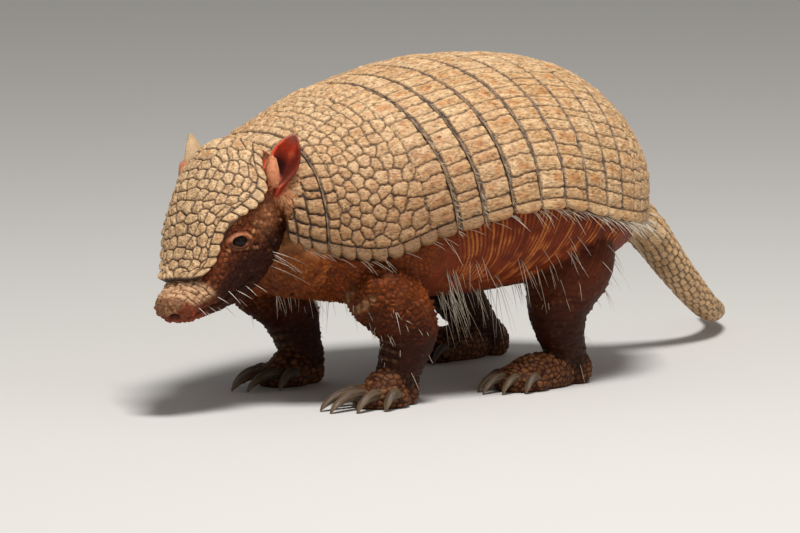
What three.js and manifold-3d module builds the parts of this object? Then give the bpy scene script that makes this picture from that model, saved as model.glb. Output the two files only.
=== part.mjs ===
// A six-banded armadillo at life size, walking with its head lowered.
// Millimetres, +Z up. The animal faces -Y and its left side is +X. The soles stand on z = 0.
// Each named mesh is one part of the body: shields, bands, skin-covered parts, ears, eyes and claws.

import * as THREE from 'three';
import { mergeVertices } from 'three/addons/utils/BufferGeometryUtils.js';
import Module from 'manifold-3d';

const wasm = await Module();
wasm.setup();

// ---------------------------------------------------------------- driving sizes

const PLATE = 3.4;          // thickness of the bony plates with their horn
const GAP = 0.45;           // thin cut between neighbouring parts
const BAND_CUT = 0.006;     // half of the cut between two bands, in stations
const SHIELD_SEAT = 1.1;    // room between the head's skin and its shield
const UNDER_PLATE = 0.7;    // room between the skin of the back and the plates
const BAND_COUNT = 7;       // movable bands
const OVERHANG = 4.5;       // how far the rim of the armour stands out over the flank

// Stations of the armour from the nape to the tail notch. Each row holds the crest's y and z,
// the rim's half width, y and z, the belly's y and z, and the fullness of the arch,
// where 2 is an ellipse and more is squarer.
const STATIONS = [
  [-156, 142, 45, -150, 95, -142, 72, 2.3],   // nape
  [-131, 153, 58, -133, 88, -126, 62, 2.4],    // front of the shoulder shield
  [-101, 165, 73, -101, 84, -94, 56, 2.2],     // over the shoulder
  [-67, 176, 87, -60, 97, -58, 53, 2.05],      // first band
  [4, 186.5, 101, 1, 107, 2, 52, 2.05],        // middle of the back
  [75, 180.5, 92, 63, 95, 66, 57, 2.1],        // behind the last band
  [116, 153, 74, 98, 90, 106, 67, 2.2],        // rump
  [146, 113, 31, 143, 90, 142, 80, 2.2],       // tail notch
];
const NAPE = 0;
const SHOULDER_FRONT = 1;
const FIRST_BAND = 3;
const LAST_BAND = 5;
const TAIL_NOTCH = STATIONS.length - 1;

// The head's own frame: its origin is the middle of the head shield's rear edge.
const HEAD_PIVOT = new THREE.Vector3(6, -163, 153);
const HEAD_YAW = 12;        // degrees, turned to the animal's left
const HEAD_PITCH = 50;      // degrees, nose down
const HEAD_ROLL = 11;       // degrees, the left side raised

// Sections of the head from the nape to the nose. Each row holds the distance along the head,
// the top, the bottom, the half width, and the fullness of the upper half.
const HEAD_SECTIONS = [
  [1, -4, -38, 21, 2.1],
  [8, -1, -46, 25.5, 2.2],
  [18, 1, -54, 28, 2.3],
  [30, 1.5, -59.5, 28.5, 2.35],
  [45, 0, -61, 27, 2.4],
  [58, -3.4, -59.4, 25.2, 2.5],
  [70, -8.2, -55.5, 21.9, 2.6],
  [80, -12.2, -49.6, 19, 2.7],
  [90, -12.6, -42.2, 15.6, 2.6],
  [98, -11, -35, 13.4, 2.4],
  [106, -8.5, -28.2, 11, 2.2],
  [111, -8.8, -21.6, 8.4, 2.1],
];
const WIDEST_LEVEL = 0.42;  // where a head section is widest, as a share of its depth
const SHIELD_LENGTH = 90;   // head shield, nape to snout
const SHIELD_SIDE = [62, 66, 79, 79, 69, 55, 53, 56, 50];   // degrees from the crest to its edge

const EYE_PLACE = [57.2, -21.2, 22];   // along, up and out from the head's origin
const EYE_RADIUS = 4.7;
const EAR_ROOT = [18.4, -22, 26.7];
const EAR_TIP = { left: [-9, -13.6, 40.1], right: [-10.1, -8.7, 43.8] };
const EAR_HALF_WIDTH = 7.4;
const EAR_THICKNESS = 1.7;
const NECK_RING = 22;       // how far along the head the neck's skin reaches

const TAIL_ROOT_RADIUS = 15.5;
const TAIL_TIP_RADIUS = 4;
const TAIL_TIP_SHARE = 0.65;   // the very end, as a share of that radius
const TAIL_RINGS = 4;       // armour rings at the tail's root
const TAIL_RING_LENGTH = 11;
const TAIL_PATH = new THREE.CatmullRomCurve3([
  new THREE.Vector3(0, 141, 91),
  new THREE.Vector3(-2, 168, 78),
  new THREE.Vector3(-10, 205, 47),
  new THREE.Vector3(-27, 246, 21),
  new THREE.Vector3(-56, 284, 11),
  new THREE.Vector3(-88, 308, 10),
]);

// Legs: joints as [x, y, z, radius], from inside the trunk to the wrist or ankle.
// Feet: where the heel of the hand or foot and the middle toe's root stand, and which way they point.
const LEGS = {
  fore_left: {
    joints: [[38, -88, 78, 20], [57, -90, 64, 20], [63, -77, 42, 16.5], [60, -82, 16, 12]],
    heel: [60, -78], toes: [62, -103], kind: 'fore',
  },
  fore_right: {
    joints: [[-38, -86, 78, 20], [-54, -84, 64, 20], [-49, -66, 42, 16.5], [-43, -60, 16, 12]],
    heel: [-43, -56], toes: [-42, -81], kind: 'fore',
  },
  hind_left: {
    joints: [[34, 74, 84, 24], [62, 50, 70, 26], [66, 38, 42, 17], [62, 50, 13, 10.5]],
    heel: [62, 56], toes: [64, 4], kind: 'hind',
  },
  hind_right: {
    joints: [[-34, 84, 84, 24], [-61, 68, 70, 26], [-64, 78, 42, 17], [-60, 100, 13, 10.5]],
    heel: [-60, 107], toes: [-62, 55], kind: 'hind',
  },
};

// Toes of each kind of foot from the inner to the outer one: sideways place, forward place,
// radius, claw length and how far the toe turns out, in degrees.
const FEET = {
  fore: {
    heelRadius: 11, ballRadius: 14, height: 21, claw: 2.9,
    toes: [[-11, -6, 4.2, 15, -16], [-6.2, 1, 5.2, 25, -6], [0.6, 2, 5.6, 26, 0],
      [7.4, -2, 5.2, 20, 8], [12.4, -9, 4.2, 13, 18]],
  },
  hind: {
    heelRadius: 10.5, ballRadius: 14.5, height: 20, claw: 2.5,
    toes: [[-11.5, -7, 4.4, 10, -14], [-6.4, -1, 5.2, 14, -6], [0, 1, 5.6, 16, 0],
      [6.8, -2, 5.2, 13, 7], [12.2, -9, 4.4, 10, 16]],
  },
};

// ---------------------------------------------------------------- colours

const finish = (color, roughness) => ({ color, roughness, metalness: 0 });
const HORN_PLATE = finish(0xd2a873, 0.7);
const HEAD_PLATE = finish(0xcfa47a, 0.7);
const BARE_SKIN = finish(0x7a3f24, 0.65);
const EAR_SKIN = finish(0xb5523a, 0.6);
const CLAW_HORN = finish(0x5c4634, 0.5);
const DARK_EYE = finish(0x0c0a09, 0.08);

// ---------------------------------------------------------------- small tools

const radians = (degrees) => degrees * Math.PI / 180;
const mix = (a, b, t) => a + (b - a) * t;
const power = (value, exponent) => Math.sign(value) * Math.abs(value) ** exponent;

// Smooth values between the rows of a table, by a Catmull-Rom spline in the row number.
function between(rows, place) {
  const last = rows.length - 1;
  const i = Math.max(0, Math.min(last - 1, Math.floor(place)));
  const t = place - i;
  const row = (k) => rows[Math.max(0, Math.min(last, k))];
  return row(i).map((_, c) => {
    const [a, b, d, e] = [row(i - 1)[c], row(i)[c], row(i + 1)[c], row(i + 2)[c]];
    return 0.5 * (2 * b + (d - a) * t + (2 * a - 5 * b + 4 * d - e) * t ** 2
      + (3 * b - a - 3 * d + e) * t ** 3);
  });
}

// The row number at which the first column of a table reaches a value.
function rowAt(rows, value) {
  const last = rows.length - 1;
  let i = 0;
  while (i < last - 1 && rows[i + 1][0] < value) i += 1;
  return i + (value - rows[i][0]) / (rows[i + 1][0] - rows[i][0]);
}

function signedVolume(geometry) {
  const p = geometry.attributes.position;
  const index = geometry.index.array;
  const corner = [new THREE.Vector3(), new THREE.Vector3(), new THREE.Vector3()];
  let sum = 0;
  for (let i = 0; i < index.length; i += 3) {
    corner.forEach((v, k) => v.fromBufferAttribute(p, index[i + k]));
    sum += corner[0].dot(corner[1].cross(corner[2])) / 6;
  }
  return sum;
}

// Bends a three.js geometry: every vertex moves to where place(x, y, z) says.
function bend(geometry, place) {
  geometry.deleteAttribute('normal');
  geometry.deleteAttribute('uv');
  const bent = mergeVertices(geometry, 1e-5);
  const p = bent.attributes.position;
  for (let i = 0; i < p.count; i += 1) {
    const v = place(p.getX(i), p.getY(i), p.getZ(i));
    p.setXYZ(i, v.x, v.y, v.z);
  }
  if (signedVolume(bent) < 0) {
    const index = bent.index.array;
    for (let i = 0; i < index.length; i += 3) {
      [index[i + 1], index[i + 2]] = [index[i + 2], index[i + 1]];
    }
  }
  return bent;
}

// A closed tube: place(angle, along, out) gives a point, with out = 0 on the end caps' middles.
function tube(around, along, place) {
  return bend(new THREE.CylinderGeometry(1, 1, 1, around, along), (x, y, z) => {
    const out = Math.hypot(x, z) > 0.5 ? 1 : 0;
    return place(Math.atan2(x, z), y + 0.5, out);
  });
}

// A curved slab: place(across, along, depth) with across in -1..1 and the others in 0..1.
function slab(across, along, place) {
  return bend(new THREE.BoxGeometry(2, 1, 1, across, along, 1),
    (x, y, z) => place(x, y + 0.5, z + 0.5));
}

function toSolid(geometry) {
  return new wasm.Manifold(new wasm.Mesh({
    numProp: 3,
    vertProperties: new Float32Array(geometry.attributes.position.array),
    triVerts: new Uint32Array(geometry.index.array),
  }));
}

function fromSolid(solid) {
  const mesh = solid.getMesh();
  const geometry = new THREE.BufferGeometry();
  geometry.setAttribute('position', new THREE.BufferAttribute(mesh.vertProperties, 3));
  geometry.setIndex(new THREE.BufferAttribute(mesh.triVerts, 1));
  return geometry;
}

// The largest body left of a geometry when each of the others is cut from it.
function less(geometry, ...others) {
  const cut = others.reduce((solid, o) => solid.subtract(toSolid(o)), toSolid(geometry));
  const bodies = cut.decompose().sort((a, b) => b.volume() - a.volume());
  return fromSolid(bodies[0]);
}

function joined(...geometries) {
  return fromSolid(geometries.slice(1).reduce((s, g) => s.add(toSolid(g)), toSolid(geometries[0])));
}

const group = new THREE.Group();

function addPart(name, geometry, look) {
  geometry.computeVertexNormals();
  const mesh = new THREE.Mesh(geometry, new THREE.MeshStandardMaterial(look));
  mesh.name = name;
  group.add(mesh);
}

// ---------------------------------------------------------------- armour of the back

// A point of the armour's outer face. s counts stations, a runs from -1 at the right rim to
// +1 at the left rim.
function shellFace(s, a) {
  const [crestY, crestZ, half, rimY, rimZ, , , full] = between(STATIONS, s);
  const angle = (1 - Math.abs(a)) * Math.PI / 2;
  const rise = Math.sin(angle) ** (2 / full);
  const side = Math.sign(a) * Math.cos(angle) ** (2 / full);
  return new THREE.Vector3(half * side, mix(rimY, crestY, rise), mix(rimZ, crestZ, rise));
}

function shellPoint(s, a, inset) {
  const step = 0.02;
  const along = shellFace(s + step, a).sub(shellFace(s - step, a));
  const low = Math.max(-1, a - step);
  const high = Math.min(1, a + step);
  const across = shellFace(s, high).sub(shellFace(s, low));
  const inward = along.cross(across).normalize();
  return shellFace(s, a).addScaledVector(inward, inset);
}

// A plate or band of the armour between two stations.
function armour(start, end, steps, grow = 0) {
  return slab(16, steps,
    (a, v, w) => shellPoint(mix(start, end, v), a, w < 0.5 ? PLATE + grow : -grow));
}

const bandPitch = (LAST_BAND - FIRST_BAND) / BAND_COUNT;

addPart('nuchal_band', armour(NAPE, SHOULDER_FRONT - BAND_CUT, 2), HORN_PLATE);
addPart('scapular_shield', armour(SHOULDER_FRONT + BAND_CUT, FIRST_BAND - BAND_CUT, 4), HORN_PLATE);
for (let k = 0; k < BAND_COUNT; k += 1) {
  const start = FIRST_BAND + k * bandPitch;
  const end = start + bandPitch;
  addPart(`band_${k + 1}`, armour(start + BAND_CUT, end - BAND_CUT, 1), HORN_PLATE);
}
addPart('pelvic_shield', armour(LAST_BAND + BAND_CUT, TAIL_NOTCH, 6), HORN_PLATE);

// ---------------------------------------------------------------- trunk and neck

// A point of the trunk's skin: under the armour it follows the plates, below it the belly.
function trunkPoint(s, angle, grow) {
  const quarter = Math.abs(angle) / (Math.PI / 2);
  if (quarter <= 1) {
    const inset = PLATE + UNDER_PLATE - grow + OVERHANG * quarter ** 6;
    return shellPoint(s, Math.sign(angle) * quarter, inset);
  }
  const rim = shellPoint(s, Math.sign(angle), PLATE + UNDER_PLATE - grow + OVERHANG);
  const [, , , , , bellyY, bellyZ] = between(STATIONS, s);
  const turn = (quarter - 1) * Math.PI / 2;
  const drop = Math.sin(turn) ** 0.9;
  return new THREE.Vector3(
    rim.x * power(Math.cos(turn), 0.85),
    mix(rim.y, bellyY, drop),
    mix(rim.z, bellyZ - grow, drop),
  );
}

function bodyLength(start, end, around, along, grow) {
  const middle = (s) => {
    const top = trunkPoint(s, 0, grow);
    return top.add(trunkPoint(s, Math.PI, grow)).multiplyScalar(0.5);
  };
  return tube(around, along, (angle, v, out) => {
    const s = mix(start, end, v);
    return out ? trunkPoint(s, angle, grow) : middle(s);
  });
}

const TRUNK_END = TAIL_NOTCH - 0.12;
const trunkRaw = bodyLength(SHOULDER_FRONT, TRUNK_END, 22, 9, 0);
const trunkGrown = bodyLength(SHOULDER_FRONT - 0.01, TRUNK_END + 0.01, 22, 9, GAP);

// ---------------------------------------------------------------- head

const yaw = radians(HEAD_YAW);
const pitch = radians(HEAD_PITCH);
const HEAD_FORWARD = new THREE.Vector3(
  Math.sin(yaw) * Math.cos(pitch), -Math.cos(yaw) * Math.cos(pitch), -Math.sin(pitch));
const HEAD_LEFT = new THREE.Vector3(Math.cos(yaw), Math.sin(yaw), 0)
  .applyAxisAngle(HEAD_FORWARD, radians(HEAD_ROLL));
const HEAD_UP = new THREE.Vector3().crossVectors(HEAD_FORWARD, HEAD_LEFT);

function headToBody(along, up, out) {
  return HEAD_PIVOT.clone().addScaledVector(HEAD_FORWARD, along)
    .addScaledVector(HEAD_UP, up).addScaledVector(HEAD_LEFT, out);
}

// The head's skin in its own frame: angle 0 is the crest and 180 degrees the chin.
function headSkin(along, angle, grow) {
  const [, top, bottom, half, full] = between(HEAD_SECTIONS, rowAt(HEAD_SECTIONS, along));
  const level = top - WIDEST_LEVEL * (top - bottom);
  const upper = Math.abs(angle) <= Math.PI / 2;
  const reach = upper ? top - level : level - bottom;
  const round = upper ? 2 / full : 0.95;
  return [
    along,
    level + (reach + grow) * power(Math.cos(angle), round),
    (half + grow) * power(Math.sin(angle), round),
  ];
}

function headSolid(grow) {
  const first = HEAD_SECTIONS[0][0];
  const last = HEAD_SECTIONS[HEAD_SECTIONS.length - 1][0];
  return tube(16, 10, (angle, v, out) => {
    const along = mix(first - grow, last + grow, v);
    if (!out) {
      const [, up] = headSkin(along, 0, 0);
      const [, down] = headSkin(along, Math.PI, 0);
      const dome = v > 0.5 ? 2 : -4;
      return headToBody(along + dome, (up + down) / 2, 0);
    }
    return headToBody(...headSkin(along, angle, grow));
  });
}

const shieldRows = SHIELD_SIDE.map((side) => [side]);

function headShield(grow) {
  return slab(12, 8, (a, v, w) => {
    const along = mix(-grow, SHIELD_LENGTH + grow, v);
    const [side] = between(shieldRows, v * (shieldRows.length - 1));
    const corner = 5 * a ** 4 * (1 - 2 * v);
    const depth = SHIELD_SEAT + (w < 0.5 ? -grow : PLATE + grow);
    return headToBody(...headSkin(along + corner, a * radians(side + grow), depth));
  });
}

function eyeBall(side, grow) {
  const [along, up, out] = EYE_PLACE;
  const place = headToBody(along, up, out * side);
  const ball = new THREE.SphereGeometry(EYE_RADIUS + grow, 8, 6);
  return bend(ball, (x, y, z) => new THREE.Vector3(x, y, z).add(place));
}

// An ear is a leaf rolled into a funnel at its root. Its hollow faces forward and outward.
function earShape(name, side) {
  const [rootAlong, rootUp, rootOut] = EAR_ROOT;
  const [tipAlong, tipUp, tipOut] = EAR_TIP[name];
  const root = headToBody(rootAlong, rootUp, rootOut * side);
  const tip = headToBody(tipAlong, tipUp, tipOut * side);
  const axis = tip.clone().sub(root);
  const height = axis.length();
  axis.normalize();
  const open = HEAD_LEFT.clone().multiplyScalar(side).addScaledVector(HEAD_FORWARD, 0.45)
    .addScaledVector(HEAD_UP, 0.35);
  open.addScaledVector(axis, -open.dot(axis)).normalize();
  const across = new THREE.Vector3().crossVectors(axis, open);
  return slab(7, 4, (a, v, w) => {
    const roll = radians(mix(150, 62, v ** 0.7));
    const half = EAR_HALF_WIDTH * (0.62 + 0.5 * Math.sin(Math.PI * v ** 1.1) - 0.42 * v ** 3);
    const radius = half / Math.sin(Math.min(roll, Math.PI / 2)) + (w < 0.5 ? EAR_THICKNESS : 0);
    const turn = a * roll;
    const lift = height * v - (1 - Math.cos(a * 1.2)) * 7 * v ** 2;
    return root.clone().addScaledVector(axis, lift)
      .addScaledVector(across, Math.sin(turn) * radius)
      .addScaledVector(open, -Math.cos(turn) * radius + half * 0.4);
  });
}

// ---------------------------------------------------------------- legs and feet

// A limb is a tube through its joints, with the joint's radius at each.
function limb(joints, grow, along) {
  const centre = new THREE.CatmullRomCurve3(joints.map(([x, y, z]) => new THREE.Vector3(x, y, z)));
  const frames = centre.computeFrenetFrames(along, false);
  return tube(8, along, (angle, v, out) => {
    const k = Math.round(v * along);
    const [, , , radius] = between(joints, v * (joints.length - 1));
    const end = out ? 0 : (v > 0.5 ? 1 : -1) * (3 + grow);
    const size = out * (radius + grow);
    return centre.getPoint(v)
      .addScaledVector(frames.tangents[k], end)
      .addScaledVector(frames.normals[k], Math.cos(angle) * size)
      .addScaledVector(frames.binormals[k], Math.sin(angle) * size);
  });
}

// Rounded lump with a flat sole on the floor.
function lump(x, y, z, length, width, height, heading) {
  const [around, rows] = length > 9 ? [8, 5] : [6, 4];
  return bend(new THREE.SphereGeometry(1, around, rows), (a, b, c) => {
    const forward = a * length;
    const sideways = b * width;
    return new THREE.Vector3(
      x + forward * Math.cos(heading) - sideways * Math.sin(heading),
      y + forward * Math.sin(heading) + sideways * Math.cos(heading),
      Math.max(0, z + c * height),
    );
  });
}

function footFrame(leg) {
  const heading = Math.atan2(leg.toes[1] - leg.heel[1], leg.toes[0] - leg.heel[0]);
  const mirror = leg.heel[0] > 0 ? 1 : -1;
  const sideways = heading + mirror * Math.PI / 2;
  const at = (forward, out) => [
    leg.toes[0] + Math.cos(heading) * forward + Math.cos(sideways) * out,
    leg.toes[1] + Math.sin(heading) * forward + Math.sin(sideways) * out,
  ];
  return { heading, mirror, at };
}

function footSolid(leg, grow) {
  const kind = FEET[leg.kind];
  const { heading, mirror, at } = footFrame(leg);
  const length = Math.hypot(leg.toes[0] - leg.heel[0], leg.toes[1] - leg.heel[1]);
  const pieces = [
    lump(...at(-length + 2, 0), 8, kind.heelRadius + grow, kind.heelRadius + grow, 12 + grow, heading),
    lump(...at(-length * 0.42, 0), 7, length * 0.5 + grow, kind.ballRadius * 0.92 + grow,
      kind.height - 7 + grow, heading),
    lump(...at(-5, 0.6), 5, 15 + grow, kind.ballRadius + grow, 10 + grow, heading),
  ];
  for (const [out, forward, radius, , turn] of kind.toes) {
    const aim = heading + mirror * radians(turn);
    pieces.push(lump(...at(forward, out), 5, radius * 1.6 + grow, radius + grow, radius + grow, aim));
  }
  return joined(...pieces);
}

// A claw is a cone that curves down to the floor.
function clawSolid(leg, toe) {
  const kind = FEET[leg.kind];
  const { heading, mirror, at } = footFrame(leg);
  const [out, forward, radius, length, turn] = toe;
  const aim = heading + mirror * radians(turn);
  const [x, y] = at(forward, out);
  const start = radius * 0.4;
  return tube(5, 3, (angle, v, rim) => {
    const thick = rim * mix(kind.claw, 0.5, v ** 1.3);
    const reach = start + (radius * 0.9 + length) * v;
    const height = mix(6.4, 1.3, v ** 1.6) + 1.6 * Math.sin(Math.PI * v);
    const sideways = Math.sin(angle) * thick * 0.85;
    return new THREE.Vector3(
      x + Math.cos(aim) * reach - Math.sin(aim) * sideways,
      y + Math.sin(aim) * reach + Math.cos(aim) * sideways,
      height + Math.cos(angle) * thick,
    );
  });
}

const limbs = Object.entries(LEGS).map(([name, leg]) => ({
  name,
  leg,
  raw: limb(leg.joints, 0, 5),
  foot: footSolid(leg, 0),
  footGrown: footSolid(leg, GAP),
}));

for (const { name, leg, raw, foot, footGrown } of limbs) {
  addPart(`leg_${name}`, less(raw, footGrown, trunkGrown), BARE_SKIN);
  addPart(`foot_${name}`, foot, BARE_SKIN);
  FEET[leg.kind].toes.forEach((toe, k) => {
    addPart(`claw_${name}_${k + 1}`, less(clawSolid(leg, toe), footGrown), CLAW_HORN);
  });
}

// ---------------------------------------------------------------- neck, head and tail

// The neck runs from the front of the trunk to a ring of the head's skin behind the ears.
function neckSolid(grow) {
  const reach = (turn, v) => {
    const body = trunkPoint(SHOULDER_FRONT - 0.015, turn, grow);
    return body.lerp(headToBody(...headSkin(NECK_RING, turn, grow - 1)), v);
  };
  return tube(16, 3, (angle, v, out) => (
    out ? reach(angle, v) : reach(0, v).add(reach(Math.PI, v)).multiplyScalar(0.5)));
}

const SIDES = [['left', 1], ['right', -1]];
const headGrown = headSolid(GAP);
const shieldGrown = headShield(GAP);
const nuchalGrown = armour(NAPE - 0.02, SHOULDER_FRONT, 2, GAP);
const neckGrown = neckSolid(GAP);
const sockets = SIDES.map(([, side]) => eyeBall(side, GAP));

addPart('trunk', less(trunkRaw, headGrown), BARE_SKIN);
addPart('neck', less(neckSolid(0), headGrown, shieldGrown, nuchalGrown), BARE_SKIN);
addPart('head', less(headSolid(0), nuchalGrown, ...sockets), BARE_SKIN);
addPart('head_shield', headShield(0), HEAD_PLATE);
for (const [name, side] of SIDES) {
  addPart(`ear_${name}`, less(earShape(name, side), headGrown, shieldGrown, nuchalGrown, neckGrown),
    EAR_SKIN);
  addPart(`eye_${name}`, eyeBall(side, 0), DARK_EYE);
}

const TAIL_STEPS = 60;
const tailLength = TAIL_PATH.getLength();
const tailFrames = TAIL_PATH.computeFrenetFrames(TAIL_STEPS, false);

function tailPoint(u, angle, size) {
  const k = Math.round(u * TAIL_STEPS);
  return TAIL_PATH.getPointAt(u)
    .addScaledVector(tailFrames.normals[k], Math.cos(angle) * size)
    .addScaledVector(tailFrames.binormals[k], Math.sin(angle) * size);
}

function tailPiece(start, end, steps) {
  return tube(10, steps, (angle, v, out) => {
    const u = mix(start, end, v) / tailLength;
    const radius = mix(TAIL_ROOT_RADIUS, TAIL_TIP_RADIUS, u ** 0.8);
    const narrow = v === 1 && end >= tailLength ? TAIL_TIP_SHARE : 1;
    return tailPoint(Math.min(1, u), angle, out * radius * narrow);
  });
}

for (let k = 0; k < TAIL_RINGS; k += 1) {
  const start = k * TAIL_RING_LENGTH;
  const ring = tailPiece(start, start + TAIL_RING_LENGTH - GAP, 2);
  addPart(`tail_ring_${k + 1}`, k < 2 ? less(ring, trunkGrown) : ring, HORN_PLATE);
}
addPart('tail', tailPiece(TAIL_RINGS * TAIL_RING_LENGTH, tailLength, 10), HORN_PLATE);

// The origin is the middle of the whole box, on the floor.
const box = new THREE.Box3().setFromObject(group);
const middle = box.getCenter(new THREE.Vector3());
group.position.set(-middle.x, -middle.y, -box.min.z);

export default group;
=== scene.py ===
# %% [markdown]
# # A six-banded armadillo, walking with its head lowered
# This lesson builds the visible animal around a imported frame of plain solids. The frame says where
# every part is. Here each shield, band, fold and claw gets the surface that the real one has.
# Work is in millimetres in the animal's own frame: it faces -Y, its left side is +X, and the soles
# stand on z = 0. One function at the end of each piece turns that into the frame's metres.

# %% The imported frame
import math

import bmesh
import bpy
import numpy as np
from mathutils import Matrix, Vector
from mathutils.kdtree import KDTree


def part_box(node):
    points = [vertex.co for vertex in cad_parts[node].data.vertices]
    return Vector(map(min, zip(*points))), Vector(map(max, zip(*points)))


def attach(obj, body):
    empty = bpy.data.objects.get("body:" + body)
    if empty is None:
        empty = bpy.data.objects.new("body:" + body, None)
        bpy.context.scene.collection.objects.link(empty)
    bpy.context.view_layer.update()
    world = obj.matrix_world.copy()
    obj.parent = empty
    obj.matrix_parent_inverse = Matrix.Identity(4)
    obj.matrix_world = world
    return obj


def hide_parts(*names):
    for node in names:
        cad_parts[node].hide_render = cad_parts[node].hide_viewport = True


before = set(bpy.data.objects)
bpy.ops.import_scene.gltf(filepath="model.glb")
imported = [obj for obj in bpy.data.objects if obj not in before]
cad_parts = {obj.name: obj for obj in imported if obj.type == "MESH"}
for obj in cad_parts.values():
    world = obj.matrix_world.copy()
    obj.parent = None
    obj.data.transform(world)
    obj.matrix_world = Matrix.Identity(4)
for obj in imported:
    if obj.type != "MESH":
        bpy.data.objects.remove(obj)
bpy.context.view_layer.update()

# %% [markdown]
# ## The animal's plan
# An armadillo's shell is a vault: a crest line, two rims, and an arch between them. Eight stations
# along the body give that vault, and a spline joins them. The same rows built the solids, so the
# finished plates lie exactly where the solids lie.

# %% Driving sizes
# crest y and z, rim half width, rim y and z, belly y and z, fullness of the arch
STATIONS = np.array([
    [-156, 142, 45, -150, 95, -142, 72, 2.3],
    [-131, 153, 58, -133, 88, -126, 62, 2.4],
    [-101, 165, 73, -101, 84, -94, 56, 2.2],
    [-67, 176, 87, -60, 97, -58, 53, 2.05],
    [4, 186.5, 101, 1, 107, 2, 52, 2.05],
    [75, 180.5, 92, 63, 95, 66, 57, 2.1],
    [116, 153, 74, 98, 90, 106, 67, 2.2],
    [146, 113, 31, 143, 90, 142, 80, 2.2],
])
SHOULDER_FRONT, FIRST_BAND, LAST_BAND, TAIL_NOTCH = 1, 3, 5, 7
BAND_COUNT = 7
BAND_CUT = 0.006
PLATE = 3.4
UNDER_PLATE = 0.7
OVERHANG = 4.5
RIM_ROW = 6.6

# distance along the head, top, bottom, half width, fullness of the upper half
HEAD_SECTIONS = np.array([
    [1, -4, -38, 21, 2.1], [8, -1, -46, 25.5, 2.2], [18, 1, -54, 28, 2.3],
    [30, 1.5, -59.5, 28.5, 2.35], [45, 0, -61, 27, 2.4], [58, -3.4, -59.4, 25.2, 2.5],
    [70, -8.2, -55.5, 21.9, 2.6], [80, -12.2, -49.6, 19, 2.7], [90, -12.6, -42.2, 15.6, 2.6],
    [98, -11, -35, 13.4, 2.4], [106, -8.5, -28.2, 11, 2.2], [111, -8.8, -21.6, 8.4, 2.1],
])
HEAD_PIVOT = np.array([6.0, -163, 153])
HEAD_YAW, HEAD_PITCH, HEAD_ROLL = 12, 50, 11
WIDEST_LEVEL = 0.42
SHIELD_SEAT = 1.1
SHIELD_LENGTH = 90
SHIELD_SIDE = np.array([62, 66, 79, 79, 69, 55, 53, 56, 50])
EYE_PLACE = (57.2, -21.2, 22)
EYE_RADIUS = 4.7
print("stations:", len(STATIONS), "sections of the head:", len(HEAD_SECTIONS))


def between(rows, place):
    """Smooth values between the rows of a table: a Catmull-Rom spline in the row number."""
    rows = np.asarray(rows, float)
    place = np.asarray(place, float)
    last = len(rows) - 1
    i = np.clip(np.floor(place).astype(int), 0, last - 1)
    t = (place - i)[..., None]
    a, b, d, e = (rows[np.clip(i + k, 0, last)] for k in (-1, 0, 1, 2))
    return 0.5 * (2 * b + (d - a) * t + (2 * a - 5 * b + 4 * d - e) * t**2
                  + (3 * b - a - 3 * d + e) * t**3)


def mix(a, b, t):
    return a + (b - a) * t


def power(value, exponent):
    return np.sign(value) * np.abs(value) ** exponent


def ramp(low, high, value):
    """0 below low, 1 above high, and a soft step between."""
    t = np.clip((value - low) / (high - low), 0, 1)
    return t * t * (3 - 2 * t)


def unit(v):
    return v / np.maximum(np.linalg.norm(v, axis=-1, keepdims=True), 1e-12)

# %% [markdown]
# ## The vault of the shell
# A point of the vault is named by its station s and by a, which runs from -1 at the right rim to 1
# at the left rim. Its normal comes from two small steps on the surface.

# %% Points of the vault
def shell_face(s, a):
    row = between(STATIONS, s)
    crest_y, crest_z, half, rim_y, rim_z = (row[..., k] for k in range(5))
    full = row[..., 7]
    angle = (1 - np.abs(a)) * math.pi / 2
    rise = np.sin(angle) ** (2 / full)
    side = np.sign(a) * np.cos(angle) ** (2 / full)
    return np.stack([half * side, mix(rim_y, crest_y, rise), mix(rim_z, crest_z, rise)], -1)


def shell_normal(s, a, step=0.02):
    along = shell_face(s + step, a) - shell_face(s - step, a)
    across = shell_face(s, np.minimum(1, a + step)) - shell_face(s, np.maximum(-1, a - step))
    return -unit(np.cross(along, across))


# Even steps of a are not even steps over the ground, so a table turns a share of the arc from
# crest to rim into a. Scutes can then be laid out in real millimetres.
STEPS_PER_STATION, SHARE_STEPS = 10, 200
ARC_STATIONS = np.linspace(0, TAIL_NOTCH, TAIL_NOTCH * STEPS_PER_STATION + 1)
ARC_SHARES = np.linspace(0, 1, 401)
arc_points = shell_face(ARC_STATIONS[:, None], ARC_SHARES[None, :])
arc_steps = np.linalg.norm(np.diff(arc_points, axis=1), axis=2)
arc_length = np.pad(np.cumsum(arc_steps, axis=1), ((0, 0), (1, 0)))
share_grid = np.linspace(0, 1, SHARE_STEPS + 1)
share_to_a = np.array([np.interp(share_grid, row / row[-1], ARC_SHARES) for row in arc_length])


def arc_to_a(s, share):
    """a at a signed share of the arc from crest to rim."""
    row = np.clip(np.asarray(s, float) * STEPS_PER_STATION, 0, len(ARC_STATIONS) - 1.001)
    column = np.clip(np.abs(share) * SHARE_STEPS, 0, SHARE_STEPS - 0.001)
    i, j = row.astype(int), column.astype(int)
    u, v = row - i, column - j
    value = ((1 - u) * (1 - v) * share_to_a[i, j] + u * (1 - v) * share_to_a[i + 1, j]
             + (1 - u) * v * share_to_a[i, j + 1] + u * v * share_to_a[i + 1, j + 1])
    return np.sign(share) * value


print("arc from crest to rim, mm:", np.round(arc_length[::STEPS_PER_STATION, -1], 1))

# %% [markdown]
# ## The head's own frame
# The head is bowed, turned and rolled, so it is easiest to shape in a frame of its own: along from
# nape to nose, up towards the crest and out to the animal's left.

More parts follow.
